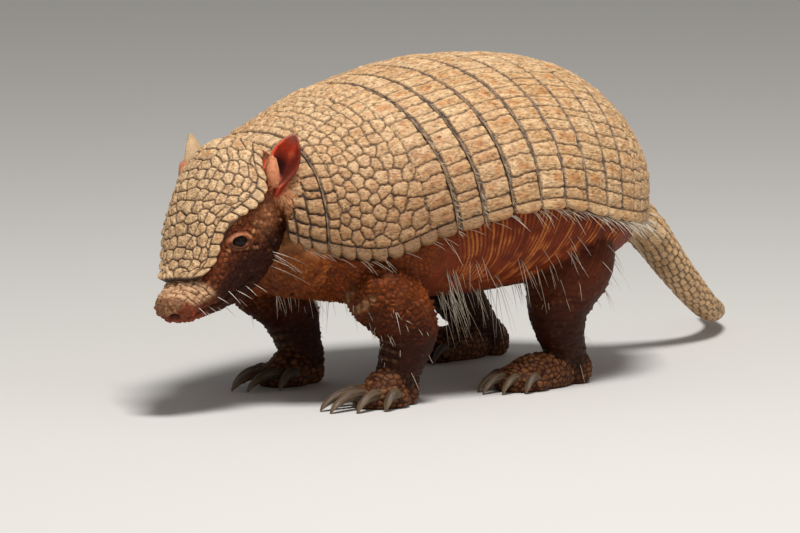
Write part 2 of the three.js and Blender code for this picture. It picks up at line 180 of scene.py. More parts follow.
# %% Points of the head
def turned(vector, axis, degrees):
    """A vector turned about an axis (Rodrigues' formula)."""
    r = math.radians(degrees)
    return (vector * math.cos(r) + np.cross(axis, vector) * math.sin(r)
            + axis * (axis @ vector) * (1 - math.cos(r)))


yaw, pitch = math.radians(HEAD_YAW), math.radians(HEAD_PITCH)
HEAD_FORWARD = np.array([math.sin(yaw) * math.cos(pitch), -math.cos(yaw) * math.cos(pitch),
                         -math.sin(pitch)])
HEAD_LEFT = turned(np.array([math.cos(yaw), math.sin(yaw), 0]), HEAD_FORWARD, HEAD_ROLL)
HEAD_UP = np.cross(HEAD_FORWARD, HEAD_LEFT)


def head_to_body(along, up, out):
    return (HEAD_PIVOT + np.asarray(along)[..., None] * HEAD_FORWARD
            + np.asarray(up)[..., None] * HEAD_UP + np.asarray(out)[..., None] * HEAD_LEFT)


def body_to_head(points):
    offset = points - HEAD_PIVOT
    return offset @ HEAD_FORWARD, offset @ HEAD_UP, offset @ HEAD_LEFT


def head_section(along):
    place = np.interp(along, HEAD_SECTIONS[:, 0], np.arange(len(HEAD_SECTIONS)))
    row = between(HEAD_SECTIONS, place)
    return row[..., 1], row[..., 2], row[..., 3], row[..., 4]


def head_skin(along, angle, grow):
    """A point of the head's skin: angle 0 is the crest and 180 degrees the chin."""
    top, bottom, half, full = head_section(along)
    level = top - WIDEST_LEVEL * (top - bottom)
    upper = np.abs(angle) <= math.pi / 2
    reach = np.where(upper, top - level, level - bottom)
    rounding = np.where(upper, 2 / full, 0.95)
    up = level + (reach + grow) * power(np.cos(angle), rounding)
    out = (half + grow) * power(np.sin(angle), rounding)
    return head_to_body(along + 0 * up, up, out)


eye_low, eye_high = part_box("eye_left")
eye_in_frame = np.array(eye_low + eye_high) * 500
FRAME_SHIFT = eye_in_frame - head_to_body(*EYE_PLACE)
FRAME_SHIFT[[0, 2]] = 0
print("the frame lies", np.round(FRAME_SHIFT, 2), "mm from the body's own origin")

# %% [markdown]
# ## Natural variation
# Nothing on an animal repeats exactly. These helpers give repeatable unevenness: two draw a number
# for each scute or cell from its place in the row, and one is a soft three-dimensional noise.

# %% Draws and noise
def draw(i, j, salt):
    """A number from 0 to 1 that belongs to a pair of whole numbers."""
    wave = np.sin(i * 127.1 + j * 311.7 + salt * 74.7) * 43758.5453
    return wave - np.floor(wave)


def draw3(i, j, k, salt):
    wave = np.sin(i * 127.1 + j * 311.7 + k * 191.3 + salt * 74.7) * 43758.5453
    return wave - np.floor(wave)


def noise(points, size, salt=0):
    """Soft noise from -1 to 1 that changes over about size millimetres."""
    q = points / size
    base = np.floor(q)
    f = q - base
    f = f * f * (3 - 2 * f)
    total = 0
    for dx in (0, 1):
        for dy in (0, 1):
            for dz in (0, 1):
                weight = (np.where(dx, f[..., 0], 1 - f[..., 0])
                          * np.where(dy, f[..., 1], 1 - f[..., 1])
                          * np.where(dz, f[..., 2], 1 - f[..., 2]))
                total = total + weight * draw3(base[..., 0] + dx, base[..., 1] + dy,
                                               base[..., 2] + dz, salt)
    return total * 2 - 1


print("noise at three places:", np.round(noise(np.eye(3) * 40, 9), 2))

# %% [markdown]
# ## Colours
# A colour is written as the sRGB hex code that a paint program shows. Blender mixes light in linear
# values, so one function converts the codes, and another lays one colour over another.

# %% Colours
def colour(hex_code):
    """An sRGB hex colour as linear red, green, blue."""
    srgb = np.array([int(hex_code[k:k + 2], 16) for k in (1, 3, 5)]) / 255
    return np.where(srgb <= 0.04045, srgb / 12.92, ((srgb + 0.055) / 1.055) ** 2.4)


def lay(base, over, amount):
    """Lays one colour over another by an amount from 0 to 1."""
    base, over = (colour(c) if isinstance(c, str) else c for c in (base, over))
    return base + (over - base) * np.clip(amount, 0, 1)[..., None]


HORN_LIGHT, HORN_MID, HORN_WARM = colour("#E8C394"), colour("#CFA06A"), colour("#C98447")
HORN_RIM, SEAM, STRIP_SKIN = colour("#94703F"), colour("#2A150B"), colour("#84684C")
print("light horn in linear values:", np.round(HORN_LIGHT, 3))

# %% [markdown]
# ## From arrays to a mesh
# Every dense surface here is first a grid of numbers. This step hands the grid to Blender in one
# go, with the colour of each vertex, and with a map named OFBake for baking the colours.

# %% Mesh builder
def to_frame(points):
    return (np.asarray(points) + FRAME_SHIFT) / 1000


def read_all(items, field, width, kind=np.float32):
    """One field of many Blender items, as rows of an array."""
    flat = np.zeros(len(items) * width, kind)
    items.foreach_get(field, flat)
    return flat.reshape(-1, width)


def write_all(items, field, values, kind=np.float32):
    items.foreach_set(field, np.asarray(values).astype(kind).ravel())


def in_scene(name, data):
    made = bpy.data.objects.new(name, data)
    bpy.context.scene.collection.objects.link(made)
    return made


def tint_layer(mesh, tint):
    rgba = np.concatenate([tint.reshape(-1, 3), np.ones((tint.size // 3, 1))], axis=1)
    write_all(mesh.attributes.new("tint", "FLOAT_COLOR", "POINT").data, "color", rgba)


def mesh_object(name, points, faces, tint=None, corner_uv=None):
    """faces is a list of integer arrays, one array for each number of corners."""
    mesh = bpy.data.meshes.new(name)
    points = to_frame(points).reshape(-1, 3)
    mesh.vertices.add(len(points))
    write_all(mesh.vertices, "co", points)
    faces = [f for f in faces if len(f)]
    loops = np.concatenate([f.ravel() for f in faces])
    sizes = np.concatenate([np.full(len(f), f.shape[1]) for f in faces])
    mesh.loops.add(len(loops))
    write_all(mesh.loops, "vertex_index", loops, np.int32)
    mesh.polygons.add(len(sizes))
    starts = np.concatenate([[0], np.cumsum(sizes)[:-1]])
    write_all(mesh.polygons, "loop_start", starts, np.int32)
    write_all(mesh.polygons, "use_smooth", np.ones(len(sizes)), bool)
    if corner_uv is not None:
        write_all(mesh.uv_layers.new(name="OFBake").data, "uv", corner_uv)
    mesh.update(calc_edges=True)
    if mesh.validate(verbose=False):
        print("warning: Blender repaired", name)
    if tint is not None:
        tint_layer(mesh, tint)
    return in_scene(name, mesh)


print("the body's origin in the frame, mm:", np.round(to_frame(np.zeros(3)) * 1000, 2))

# %% [markdown]
# ## Closed plates
# A real plate has a thickness, and its edge shows. So each plate is a dense outer grid and a coarse
# inner one, joined by four strips of edge. The map gives the outer grid nine tenths of its height.

# %% Closed plates
def grid_faces(rows, columns, first=0, flip=False):
    """Four-cornered faces of a grid of vertices numbered row by row."""
    i = np.arange(rows - 1)[:, None] * columns + np.arange(columns - 1)[None, :] + first
    quad = np.stack([i, i + 1, i + columns + 1, i + columns], -1).reshape(-1, 4)
    return quad[:, ::-1] if flip else quad


def plate_mesh(name, outer, inner, tint, material):
    """A closed plate: a dense outer grid, a coarse inner one with as many columns, and edges."""
    rows, columns = outer.shape[:2]
    inner_rows = inner.shape[0]
    first = rows * columns
    top = grid_faces(rows, columns)
    under = grid_faces(inner_rows, columns, first, flip=True)
    c = np.arange(columns - 1)
    front = np.stack([c + 1, c, first + c, first + c + 1], -1)
    last_out, last_in = (rows - 1) * columns, first + (inner_rows - 1) * columns
    rear = np.stack([last_out + c, last_out + c + 1, last_in + c + 1, last_in + c], -1)
    sides = []
    for column, step in ((0, 1), (columns - 1, -1)):
        loop = np.concatenate([np.arange(rows) * columns + column,
                               first + np.arange(inner_rows)[::-1] * columns + column])
        sides.append(loop[::step][None, :])
    faces = [top, under, front, rear] + sides
    across = np.linspace(0.002, 0.998, columns)
    u_out = np.broadcast_to(across, (rows, columns))
    v_out = np.broadcast_to(np.linspace(0.002, 0.9, rows)[:, None], (rows, columns))
    u_in = np.broadcast_to(across, (inner_rows, columns))
    v_in = np.broadcast_to(np.linspace(0.95, 0.998, inner_rows)[:, None], (inner_rows, columns))
    place = np.stack([np.concatenate([u_out.ravel(), u_in.ravel()]),
                      np.concatenate([v_out.ravel(), v_in.ravel()])], -1)
    corner_uv = [place[top.ravel()], place[under.ravel()]]
    for edge, low in ((front, 0.91), (rear, 0.93)):
        uv = place[edge.ravel()].copy()
        uv[:, 1] = low + 0.012 * (edge.ravel() >= first)
        corner_uv.append(uv)
    for loop in sides:
        uv = place[loop.ravel()].copy()
        corner_uv.append(np.stack([0.999 - 0.001 * uv[:, 1], 0.9 + 0.1 * uv[:, 1]], -1))
    points = np.concatenate([outer.reshape(-1, 3), inner.reshape(-1, 3)])
    tint_in = np.broadcast_to(colour("#3A2618"), (inner_rows * columns, 3))
    made = mesh_object(name, points, faces, np.concatenate([tint.reshape(-1, 3), tint_in]),
                       np.concatenate(corner_uv))
    made.data.materials.append(material)
    print(name, "has", sum(len(f) * (f.shape[1] - 2) for f in faces), "triangles")
    return made

# %% [markdown]
# ## Adding a node
# Materials are small networks. One function adds a node, sets its options, and fills or links its
# inputs, so that each material below reads as a recipe. A node given as an input stands for its
# first output.

# %% Node helper
def add_node(tree, kind, inputs=None, **settings):
    made = tree.nodes.new("ShaderNode" + kind)
    for key, value in settings.items():
        setattr(made, key, value)
    for key, value in (inputs or {}).items():
        if isinstance(value, bpy.types.Node):
            value = value.outputs[0]
        if isinstance(value, bpy.types.NodeSocket):
            tree.links.new(value, made.inputs[key])
        else:
            made.inputs[key].default_value = value
    return made


def new_material(name):
    material = bpy.data.materials.new(name)
    material.use_nodes = True
    tree = material.node_tree
    tree.nodes.clear()
    return material, tree


print("material helpers:", add_node.__name__, "and", new_material.__name__)

# %% [markdown]
# ## Horn over bone
# Each scute is a bony tile under a thin layer of keratin, the stuff of nails. It grows in layers, so
# it is finely streaked lengthwise, and the hair pits of the live scute show as dark dots: painted
# shade in the pits.
# Digging and rubbing leave it half matte. Keratin has an index of refraction of about 1.55. The
# broad colours are on the vertices; this network adds what is finer than a vertex.

# %% Material: horn plates
def horn_material(name, streak_mm, pit_mm, roughness):
    material, tree = new_material(name)
    place = add_node(tree, "TexCoord").outputs["Object"]
    tint = add_node(tree, "Attribute", attribute_name="tint").outputs["Color"]
    # streaks run along Y: a scale of 0.28 stretches the pattern that way by three and a half
    long_way = add_node(tree, "Mapping", {"Vector": place, "Scale": (1, 0.28, 1)})
    streak = add_node(tree, "TexNoise", {
        "Vector": long_way, "Scale": 1000 / streak_mm, "Detail": 4.0, "Roughness": 0.6})
    pit = add_node(tree, "TexVoronoi", {
        "Vector": long_way, "Scale": 1000 / pit_mm, "Randomness": 0.9})
    # painted shade: the colour is darkened inside each hair pit
    pit_dark = add_node(tree, "MapRange", {
        "Value": pit, "From Min": 0.08, "From Max": 0.36, "To Min": 0.42, "To Max": 1.0})
    streak_shade = add_node(tree, "MapRange", {
        "Value": streak, "From Min": 0.34, "From Max": 0.66, "To Min": 0.66, "To Max": 1.24})
    shade = add_node(tree, "Math", {0: pit_dark, 1: streak_shade}, operation="MULTIPLY")
    shaded = add_node(tree, "VectorMath", {0: tint, "Scale": shade}, operation="SCALE")
    height = add_node(tree, "Math", {0: streak, 1: pit_dark}, operation="MULTIPLY")
    bump = add_node(tree, "Bump", {"Height": height, "Strength": 0.8, "Distance": 0.0009})
    rough = add_node(tree, "MapRange", {
        "Value": streak, "From Min": 0.3, "From Max": 0.7, "To Min": roughness - 0.08,
        "To Max": roughness + 0.1})
    surface = add_node(tree, "BsdfPrincipled", {
        "Base Color": shaded, "Roughness": rough, "IOR": 1.55, "Normal": bump})
    add_node(tree, "OutputMaterial", {"Surface": surface})
    return material


shell_horn = horn_material("keratin_over_bone_shell", 0.9, 1.5, 0.55)
head_horn = horn_material("keratin_over_bone_head", 1.1, 1.3, 0.58)
print(shell_horn.name, "and", head_horn.name, "made")

# %% [markdown]
# ## Scutes as cells
# The tiles of the shields are irregular polygons: the places nearest to one seed make one tile.
# The tiles of the bands are bricks in a row. Both functions return how far a point is from the edge
# of its tile, in millimetres, and a draw that belongs to the tile.

# %% Polygon tiles and brick tiles
def soft_least(distances, sharpness):
    """The least of several distances, rounded where two are nearly equal."""
    least = np.min(distances, axis=0)
    total = sum(np.exp(-sharpness * np.minimum(d - least, 20)) for d in distances)
    return least - np.log(total) / sharpness


def polygon_scutes(t, w, mm_t, mm_w, counts, jitter, salt, rounding=8.0):
    """t is across from -1 to 1 and w counts rows; mm_t and mm_w are a unit of each in mm."""
    rows = len(counts)
    base = np.clip(np.floor(w).astype(int), 0, rows - 1)
    seeds = []
    for dr in (-1, 0, 1):
        r = base + dr
        inside = (r >= 0) & (r < rows)
        n = counts[np.clip(r, 0, rows - 1)]
        shift = 0.5 * (r % 2)
        first = np.floor((t + 1) / 2 * n + shift)
        for dc in (-1, 0, 1):
            c = first + dc
            jump = (draw(r, c, salt) - 0.5) * 2 * jitter
            climb = (draw(r, c, salt + 1) - 0.5) * 2 * jitter
            dx = (t - ((c + 0.5 + jump - shift) / n * 2 - 1)) * mm_t
            dy = (w - (r + 0.5 + climb)) * mm_w
            far = np.where(inside, 0, 1e3)
            seeds.append((dx + far, dy + far, r * 1000 + c))
    reach = np.stack([dx * dx + dy * dy for dx, dy, _ in seeds])
    nearest = np.argmin(reach, axis=0)
    x0, y0, name = (np.take_along_axis(np.stack(values), nearest[None], 0)[0]
                    for values in zip(*seeds))
    gaps = []
    for k, (dx, dy, _) in enumerate(seeds):
        apart = np.hypot(dx - x0, dy - y0)
        gap = (reach[k] - (x0 * x0 + y0 * y0)) / np.maximum(2 * apart, 1e-6)
        gaps.append(np.where(nearest == k, 50.0, gap))
    gaps.append(w * mm_w)
    gaps.append((rows - w) * mm_w)
    return np.maximum(soft_least(gaps, rounding), 0), draw(name, name * 0.37, salt + 5)


def brick_scutes(t, w, mm_t, mm_w, counts, jitter, salt, corner=1.6):
    rows = len(counts)
    r = np.clip(np.floor(w).astype(int), 0, rows - 1)
    n = counts[r]
    x = (t + 1) / 2 * n
    c = np.floor(x)

    def wall(k):
        return k + np.where((k <= 0) | (k >= n), 0, (draw(r, k, salt) - 0.5) * 2 * jitter)

    c = np.where(x < wall(c), c - 1, np.where(x > wall(c + 1), c + 1, c))
    unit_x = 2 * mm_t / n
    dx = np.minimum(x - wall(c), wall(c + 1) - x) * unit_x
    dy = np.minimum(w - r, r + 1 - w) * mm_w
    round_off = corner - np.hypot(np.maximum(corner - dx, 0), np.maximum(corner - dy, 0))
    edge = np.where((dx < corner) & (dy < corner), round_off, np.minimum(dx, dy))
    return np.maximum(edge, 0), draw(r * 1000 + c, c * 0.37, salt + 5)


trial = brick_scutes(np.array([0.1]), np.array([0.5]), 40, 8, np.array([10]), 0, 1)[0]
print("from the middle of an 8 mm brick to its edge:", np.round(trial, 2), "mm")

# %% [markdown]
# ## One plated piece
# Every shield and band is made by the same steps. Lay a fine grid on the surface, find each
# point's tile, sink the seams, round the tiles' shoulders, and lower a strip of hairy skin along
# the front edge, where the real band slides under the one before it. Along the rim the last tile of
# each row is bigger, smoother and points back and down.

# %% The plate builder
INNER_DEPTH = PLATE - 0.5


def plated_piece(name, surface, length, rows_mm, width_mm, rim_count, rim_row, style, strip, salt,
                 grid_mm=0.56, notch_mm=3.4, jitter=0.17, seam_mm=1.0, material=None, light=0.0,
                 cut_back=lambda share: 0 * share, seam_wide=0.0, olive_and_shade=1.0, crown_mm=0.45,
                 tooth_peak=0.74, wavy=1.0, dark=0.97):
    """surface(v, share) gives points and normals; rows_mm are the rows' lengths, front to rear."""
    row_edges = np.concatenate([[0], np.cumsum(rows_mm)]) / sum(rows_mm)
    rows = int(length / grid_mm)
    shares = np.linspace(-1, 1, 161)
    v_rows = np.linspace(0, 1, rows)
    track = surface(v_rows[:, None] + 0 * shares, shares + 0 * v_rows[:, None])[0]
    girth = np.linalg.norm(np.diff(track, axis=1), axis=2).sum(1)[:, None] / 2
    columns = int(2 * girth.mean() / grid_mm)
    v, t = np.meshgrid(v_rows, np.linspace(-1, 1, columns), indexing="ij")
    first = cut_back(np.abs(t)) / length
    v = mix(first, 1, v)
    middles = (row_edges[1:] + row_edges[:-1]) / 2
    room = 2 * (np.interp(middles, v_rows, girth[:, 0]) - rim_row)
    counts = np.maximum(np.round(room / np.array(width_mm)), 3).astype(int)

    # the rim's outline is toothed: each rim tile runs out to a corner at its rear
    tooth = np.clip(v, 0, 0.9999) * rim_count
    phase = tooth - np.floor(tooth)
    swell = np.where(phase < tooth_peak, phase / tooth_peak, (1 - phase) / (1 - tooth_peak))
    notch = -notch_mm * (1 - np.sin(np.clip(swell, 0, 1) * math.pi / 2) ** 0.6)
    notch = notch * (0.75 + 0.5 * draw(np.floor(tooth), 3, salt))
    near_rim = ramp(girth - 14, girth, np.abs(t) * girth)
    share = t * (1 + notch * near_rim / girth)
    face, out = surface(v, share)
    mm_v = np.linalg.norm(np.gradient(face, axis=0), axis=2) * (rows - 1) / (1 - first)

    wob_t = wavy * (0.45 * noise(face, 1.7, salt) + 0.8 * noise(face, 5, salt + 1))
    wob_v = wavy * (0.45 * noise(face, 1.7, salt + 2) + 0.8 * noise(face, 5, salt + 3))
    strip_mm = mix(strip[0], strip[1], ramp(0.2, 0.95, np.abs(t)))
    strip_mm = strip_mm * (1 + 0.35 * noise(face, 6, salt + 13))
    strip_v = strip_mm / mm_v
    along = np.clip((v - strip_v + 0.8 * wob_v / mm_v) / (1 - strip_v), 0, 1)
    w = np.interp(along, row_edges, np.arange(len(row_edges)))
    row = np.clip(np.floor(w).astype(int), 0, len(counts) - 1)
    mm_w = mm_v * (1 - strip_v) * np.diff(row_edges)[row]
    inner_share = 1 - rim_row / girth
    tt = np.clip((share + wob_t / girth) / inner_share, -1, 1)
    mm_t = girth * inner_share
    bricks = brick_scutes(tt, w, mm_t, mm_w, counts, 0.26, salt + 10)
    edge, tone = bricks
    if style != "bricks":
        edge, tone = polygon_scutes(tt, w, mm_t, mm_w, counts, jitter, salt + 10)
    if style == "mixed":
        as_brick = (w > len(counts) - 1) | (w < 1)
        edge, tone = np.where(as_brick, bricks[0], edge), np.where(as_brick, bricks[1], tone)
    edge = np.minimum(edge, (inner_share - np.abs(share)) * girth)

    # the rim row
    in_rim = np.abs(share) > inner_share
    rim_side = np.minimum(phase, 1 - phase) * mm_v / rim_count
    rim_top = (np.abs(share) - inner_share) * girth
    rim_edge = soft_least([rim_side, rim_top, np.full_like(rim_top, 9.0)], 2.5)
    edge = np.where(in_rim, np.maximum(rim_edge, 0), np.maximum(edge, 0))
    tone = np.where(in_rim, draw(np.floor(tooth) + 50 * (t > 0), 7, salt), tone)

    edge = np.maximum(edge - seam_wide, 0)
    rise = np.sin(np.clip((edge - 0.06) / 0.95, 0, 1) * math.pi / 2)
    crown = ramp(0.4, 4, edge)
    grain = (noise(face * [1, 0.3, 1], 0.9, salt + 4)
             + 0.7 * noise(face * [1, 0.4, 1], 1.8, salt + 5))
    smoother = np.where(in_rim, 0.4, 1.0)
    relief = -seam_mm * (1 - rise) + crown_mm * crown + 0.4 * (tone - 0.5)
    relief = relief + 0.24 * grain * rise * smoother + 0.2 * noise(face, 3.4, salt + 6) * rise
    dent = ramp(0.45, 0.75, noise(face, 1.9, salt + 16)) * rise * smoother
    relief = relief - 0.3 * dent
    relief = relief + 0.7 * ramp(0.4, 1, phase) * ramp(0, 0.8, rim_top) * in_rim * (notch_mm > 0)
    front = v * mm_v
    in_strip = (1 - ramp(-0.25, 0.45, front - strip_mm)) * (strip_mm > 0.1)
    lying = np.stack([front * 1.5, share * girth * 0.3 + 0.6 * front, 0 * front], -1)
    fibres = noise(lying, 0.9, salt + 8) + 0.5 * noise(face, 2.2, salt + 17)
    relief = mix(relief, -1.3 + 0.55 * fibres, in_strip)
    to_rim = (1 - np.abs(t)) * girth
    curl = 1 - np.clip(to_rim / 1.9, 0, 1)
    relief = relief - 1.7 * (1 - np.sqrt(np.maximum(1 - curl * curl, 0)))
    relief = relief + 0.7 * ramp(6, 0.8, to_rim) * (1 - in_strip) * (notch_mm > 0)

    streak = noise(face * [1.6, 0.35, 1.6], 1.3, salt + 9)
    blot = noise(face, 4.5, salt + 12)
    worn = noise(face, 26, salt + 14)
    tint = lay(HORN_MID, HORN_LIGHT,
               light + 0.2 + 0.5 * tone + 0.35 * streak + 0.4 * grain * rise + 0.35 * worn)
    tint = lay(tint, HORN_WARM, 0.78 * crown * ramp(-0.15, 0.6, blot))
    tint = lay(tint, HORN_LIGHT, 0.3 * (1 - crown) * rise)
    # olive towards the rim: partly the rim tiles' own olive, partly painted shade where the vault
    # turns down
    tint = lay(tint, HORN_RIM, olive_and_shade * (in_rim * 0.6 + 0.5 * ramp(46, 4, to_rim)))
    # painted shade: darker in the dents and in the hollows of the grain
    tint = lay(tint, "#8F6236", 0.55 * dent + 0.3 * ramp(0.1, -0.7, grain) * rise)
    tint = lay(tint, "#85552C", 0.5 * (1 - ramp(0.2, 1, edge)))
    # darker towards the rim: partly soil, partly painted shade of the lower side
    soil_and_shade = ramp(100, 12, to_rim)[..., None] * (0.1 + 0.9 * olive_and_shade)
    tint = tint * (1 - soil_and_shade * [0.27, 0.37, 0.46])
    tint = lay(tint, SEAM, dark * (1 - ramp(0.03, 0.5, edge + 0.14 * streak)))
    tint = lay(tint, STRIP_SKIN * (1 + 0.9 * fibres[..., None]), in_strip)
    # painted shadow: a dark line at the step where the tiles rise from the sunken strip of skin
    step_shadow = 1 - ramp(0, 0.55, np.abs(front - strip_mm))
    tint = lay(tint, SEAM, dark * 0.7 * step_shadow * (strip_mm > 0.1) * (0.75 + 0.5 * blot))

    outer = face + out * relief[..., None]
    inner_v = np.linspace(0, rows - 1, max(3, rows // 12)).astype(int)
    inner = face[inner_v] - out[inner_v] * INNER_DEPTH
    made = plate_mesh(name, outer, inner, tint, material or shell_horn)
    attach(made, "root")
    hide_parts(name)


print("a plate's inner face lies", INNER_DEPTH, "mm below the solid's outer face")

# %% [markdown]
# ## The neck band and the shoulder shield
# The neck band has three rows of square tiles. The shoulder shield is paved with wavy polygons of
# about eight millimetres. Its first row is square, and its last row is of longer bricks, as on the
# bands.

# %% Neck band and shoulder shield
def vault(s_start, s_end):
    """A stretch of the vault as a surface of v from front to rear and share from rim to rim."""
    def surface(v, share):
        s = mix(s_start, s_end, v)
        a = arc_to_a(s, share)
        return shell_face(s, a), shell_normal(s, a)
    crest = shell_face(np.linspace(s_start, s_end, 60), np.zeros(60))
    return surface, 1.04 * np.linalg.norm(np.diff(crest, axis=0), axis=1).sum()


def behind_ear(share):
    """How far the skin behind the ear reaches over the neck band, in mm."""
    return 9.5 * ramp(0.22, 0.42, share) * ramp(0.86, 0.74, share)


plated_piece("nuchal_band", *vault(0, SHOULDER_FRONT - BAND_CUT), [8, 8, 8.5], [7.4, 7.4, 7.8],
             3, 7.0, "bricks", (0, 0), 101, cut_back=behind_ear, seam_wide=0.25, seam_mm=1.5,
             crown_mm=0.9)
plated_piece("scapular_shield", *vault(SHOULDER_FRONT + BAND_CUT, FIRST_BAND - BAND_CUT),
             [8.5, 7.6, 7.4, 7.4, 7.4, 7.6, 8.4, 9.4, 13],
             [7.6, 7.6, 7.8, 8.0, 8.0, 8.2, 8.4, 9, 9.5],
             8, 7.6, "mixed", (0.8, 1.1), 202, jitter=0.2, wavy=1.35, seam_mm=1.5,
             crown_mm=0.8)

# %% [markdown]
# ## The movable bands
# Seven hoops let the animal bend. Each is a single row of bricks, about nine millimetres wide, with
# one rim tile at each end. The hairy strip of skin in front of a band is widest low down on the
# first ones, because the bowed body opens them there.

# %% Movable bands
pitch = (LAST_BAND - FIRST_BAND) / BAND_COUNT
for k in range(BAND_COUNT):
    start = FIRST_BAND + k * pitch + BAND_CUT
    strip = (mix(1.2, 0.6, k / 6), mix(2.3, 0.8, min(1, k / 3)))
    plated_piece(f"band_{k + 1}", *vault(start, start + pitch - 2 * BAND_CUT), [20], [8.6],
                 1, RIM_ROW, "bricks", strip, 300 + 7 * k, olive_and_shade=mix(0.7, 0.1, min(1, k / 3)),
                 notch_mm=2.6, dark=mix(0.97, 0.8, min(1, k / 3)))

# %% [markdown]
# ## The hip shield
# Behind the bands the rows go on, but they are grown together. They are as long as a band at the
# front and shorter towards the tail.

# %% Hip shield
plated_piece("pelvic_shield", *vault(LAST_BAND + BAND_CUT, TAIL_NOTCH),
             [17, 15.5, 14, 12.5, 11.5, 10.5, 9.5, 9, 8.5],
             [8.6, 8.6, 8.4, 8.4, 8.2, 8, 7.6, 7.4, 7],
             9, RIM_ROW, "bricks", (0.8, 0.9), 404, olive_and_shade=0.15, notch_mm=2.4, dark=0.8)

# %% [markdown]
# ## The head shield
# The head's cap is one stiff plate of many tiles, large over the nape and smaller towards the
# snout. The edge over the eye is scalloped by the round tiles of its rim.

# %% Head shield
def head_cap(v, share):
    """The outer face of the head shield."""
    def face(v, share):
        side = between(SHIELD_SIDE[:, None], v * (len(SHIELD_SIDE) - 1))[..., 0]
        along = SHIELD_LENGTH * v + 5 * share**4 * (1 - 2 * v)
        return head_skin(along, share * np.radians(side), SHIELD_SEAT + PLATE)
    step = 0.01
    ahead = face(v + step, share) - face(v - step, share)
    across = face(v, np.minimum(share + step, 1)) - face(v, np.maximum(share - step, -1))
    return face(v, share), unit(np.cross(ahead, across))


plated_piece("head_shield", head_cap, 100,
             [9, 8, 7.2, 6.8, 6.5, 6.4, 6.3, 6.2, 6.1, 6, 5.9, 5.8, 5.5],
             [8, 7, 6.4, 6.2] + [6] * 9, 13, 7.6, "polygons", (0, 0), 505, grid_mm=0.4,
             notch_mm=1.9, jitter=0.26, material=head_horn, light=0.3, olive_and_shade=0.12,
             crown_mm=0.85, tooth_peak=0.5)

# %% [markdown]
# ## The body in clay
# The soft body is one skin over trunk, neck, head, ears, legs and feet. A sculptor would first
# block it out in clay, and so does this step: each part is a closed tube or lump made from the same
# sizes as the solids. Afterwards all lumps are melted into one surface.

# %% Clay sizes
EAR_ROOT = (18.4, -22, 26.7)
EAR_TIP = {"left": (-9, -13.6, 40.1), "right": (-10.1, -8.7, 43.8)}
EAR_HALF_WIDTH = 7.0
EAR_THICKNESS = 1.9
NECK_RING = 22
TRUNK_END = TAIL_NOTCH - 0.12
LEGS = {
    "fore_left": dict(joints=[[38, -88, 78, 20], [57, -90, 64, 20], [63, -77, 42, 16.5],
                              [60, -82, 16, 12]], heel=(60, -78), toes=(62, -103), kind="fore"),
    "fore_right": dict(joints=[[-38, -86, 78, 20], [-54, -84, 64, 20], [-49, -66, 42, 16.5],
                               [-43, -60, 16, 12]], heel=(-43, -56), toes=(-42, -81), kind="fore"),
    "hind_left": dict(joints=[[34, 74, 84, 24], [62, 50, 70, 26], [66, 38, 42, 17],
                              [62, 50, 13, 10.5]], heel=(62, 56), toes=(64, 4), kind="hind"),
    "hind_right": dict(joints=[[-34, 84, 84, 24], [-61, 68, 70, 26], [-64, 78, 42, 17],
                               [-60, 100, 13, 10.5]], heel=(-60, 107), toes=(-62, 55),
                       kind="hind"),
}
# toes: sideways and forward place, radius, claw length, turn in degrees
FEET = {
    "fore": dict(heel=11, ball=14, height=21, claw=2.9,
                 toes=[(-11, -6, 4.2, 15, -16), (-6.2, 1, 5.2, 25, -6), (0.6, 2, 5.6, 26, 0),
                       (7.4, -2, 5.2, 20, 8), (12.4, -9, 4.2, 13, 18)]),
    "hind": dict(heel=10.5, ball=14.5, height=20, claw=2.5,
                 toes=[(-11.5, -7, 4.4, 10, -14), (-6.4, -1, 5.2, 14, -6), (0, 1, 5.6, 16, 0),
                       (6.8, -2, 5.2, 13, 7), (12.2, -9, 4.4, 10, 16)]),
}
clay = []
ear_lobes = {}
print("limbs to shape:", *LEGS)


def tube_faces(rows, columns):
    """Quads of a tube of rings whose last column joins its first."""
    i = np.arange(rows - 1)[:, None] * columns + np.arange(columns)[None, :]
    j = np.arange(rows - 1)[:, None] * columns + (np.arange(columns)[None, :] + 1) % columns
    return np.stack([i, j, j + columns, i + columns], -1).reshape(-1, 4)


def add_clay(region, rings):
    """A closed tube from rings of points, with a flat face at each end."""
    n, m = rings.shape[:2]
    ends = np.stack([np.arange(m)[::-1], (n - 1) * m + np.arange(m)])
    clay.append((region, rings.reshape(-1, 3), [tube_faces(n, m), ends]))


def smooth_line(points, t):
    """A centripetal Catmull-Rom curve through points, for t from 0 to 1."""
    p = np.asarray(points, float)
    p = np.vstack([2 * p[0] - p[1], p, 2 * p[-1] - p[-2]])
    last = len(points) - 1
    x = np.clip(np.asarray(t, float), 0, 1) * last
    i = np.minimum(x.astype(int), last - 1)
    u = (x - i)[..., None]
    p0, p1, p2, p3 = p[i], p[i + 1], p[i + 2], p[i + 3]
    d0, d1, d2 = (np.maximum(np.linalg.norm(b - a, axis=-1, keepdims=True) ** 0.5, 1e-4)
                  for a, b in ((p0, p1), (p1, p2), (p2, p3)))
    t1 = ((p1 - p0) / d0 - (p2 - p0) / (d0 + d1) + (p2 - p1) / d1) * d1
    t2 = ((p2 - p1) / d1 - (p3 - p1) / (d1 + d2) + (p3 - p2) / d2) * d1
    return (p1 + t1 * u + (-3 * p1 + 3 * p2 - 2 * t1 - t2) * u**2
            + (2 * p1 - 2 * p2 + t1 + t2) * u**3)


def lengths_along(line):
    """The length run from the start of a line to each of its points."""
    return np.concatenate([[0], np.cumsum(np.linalg.norm(np.diff(line, axis=0), axis=1))])


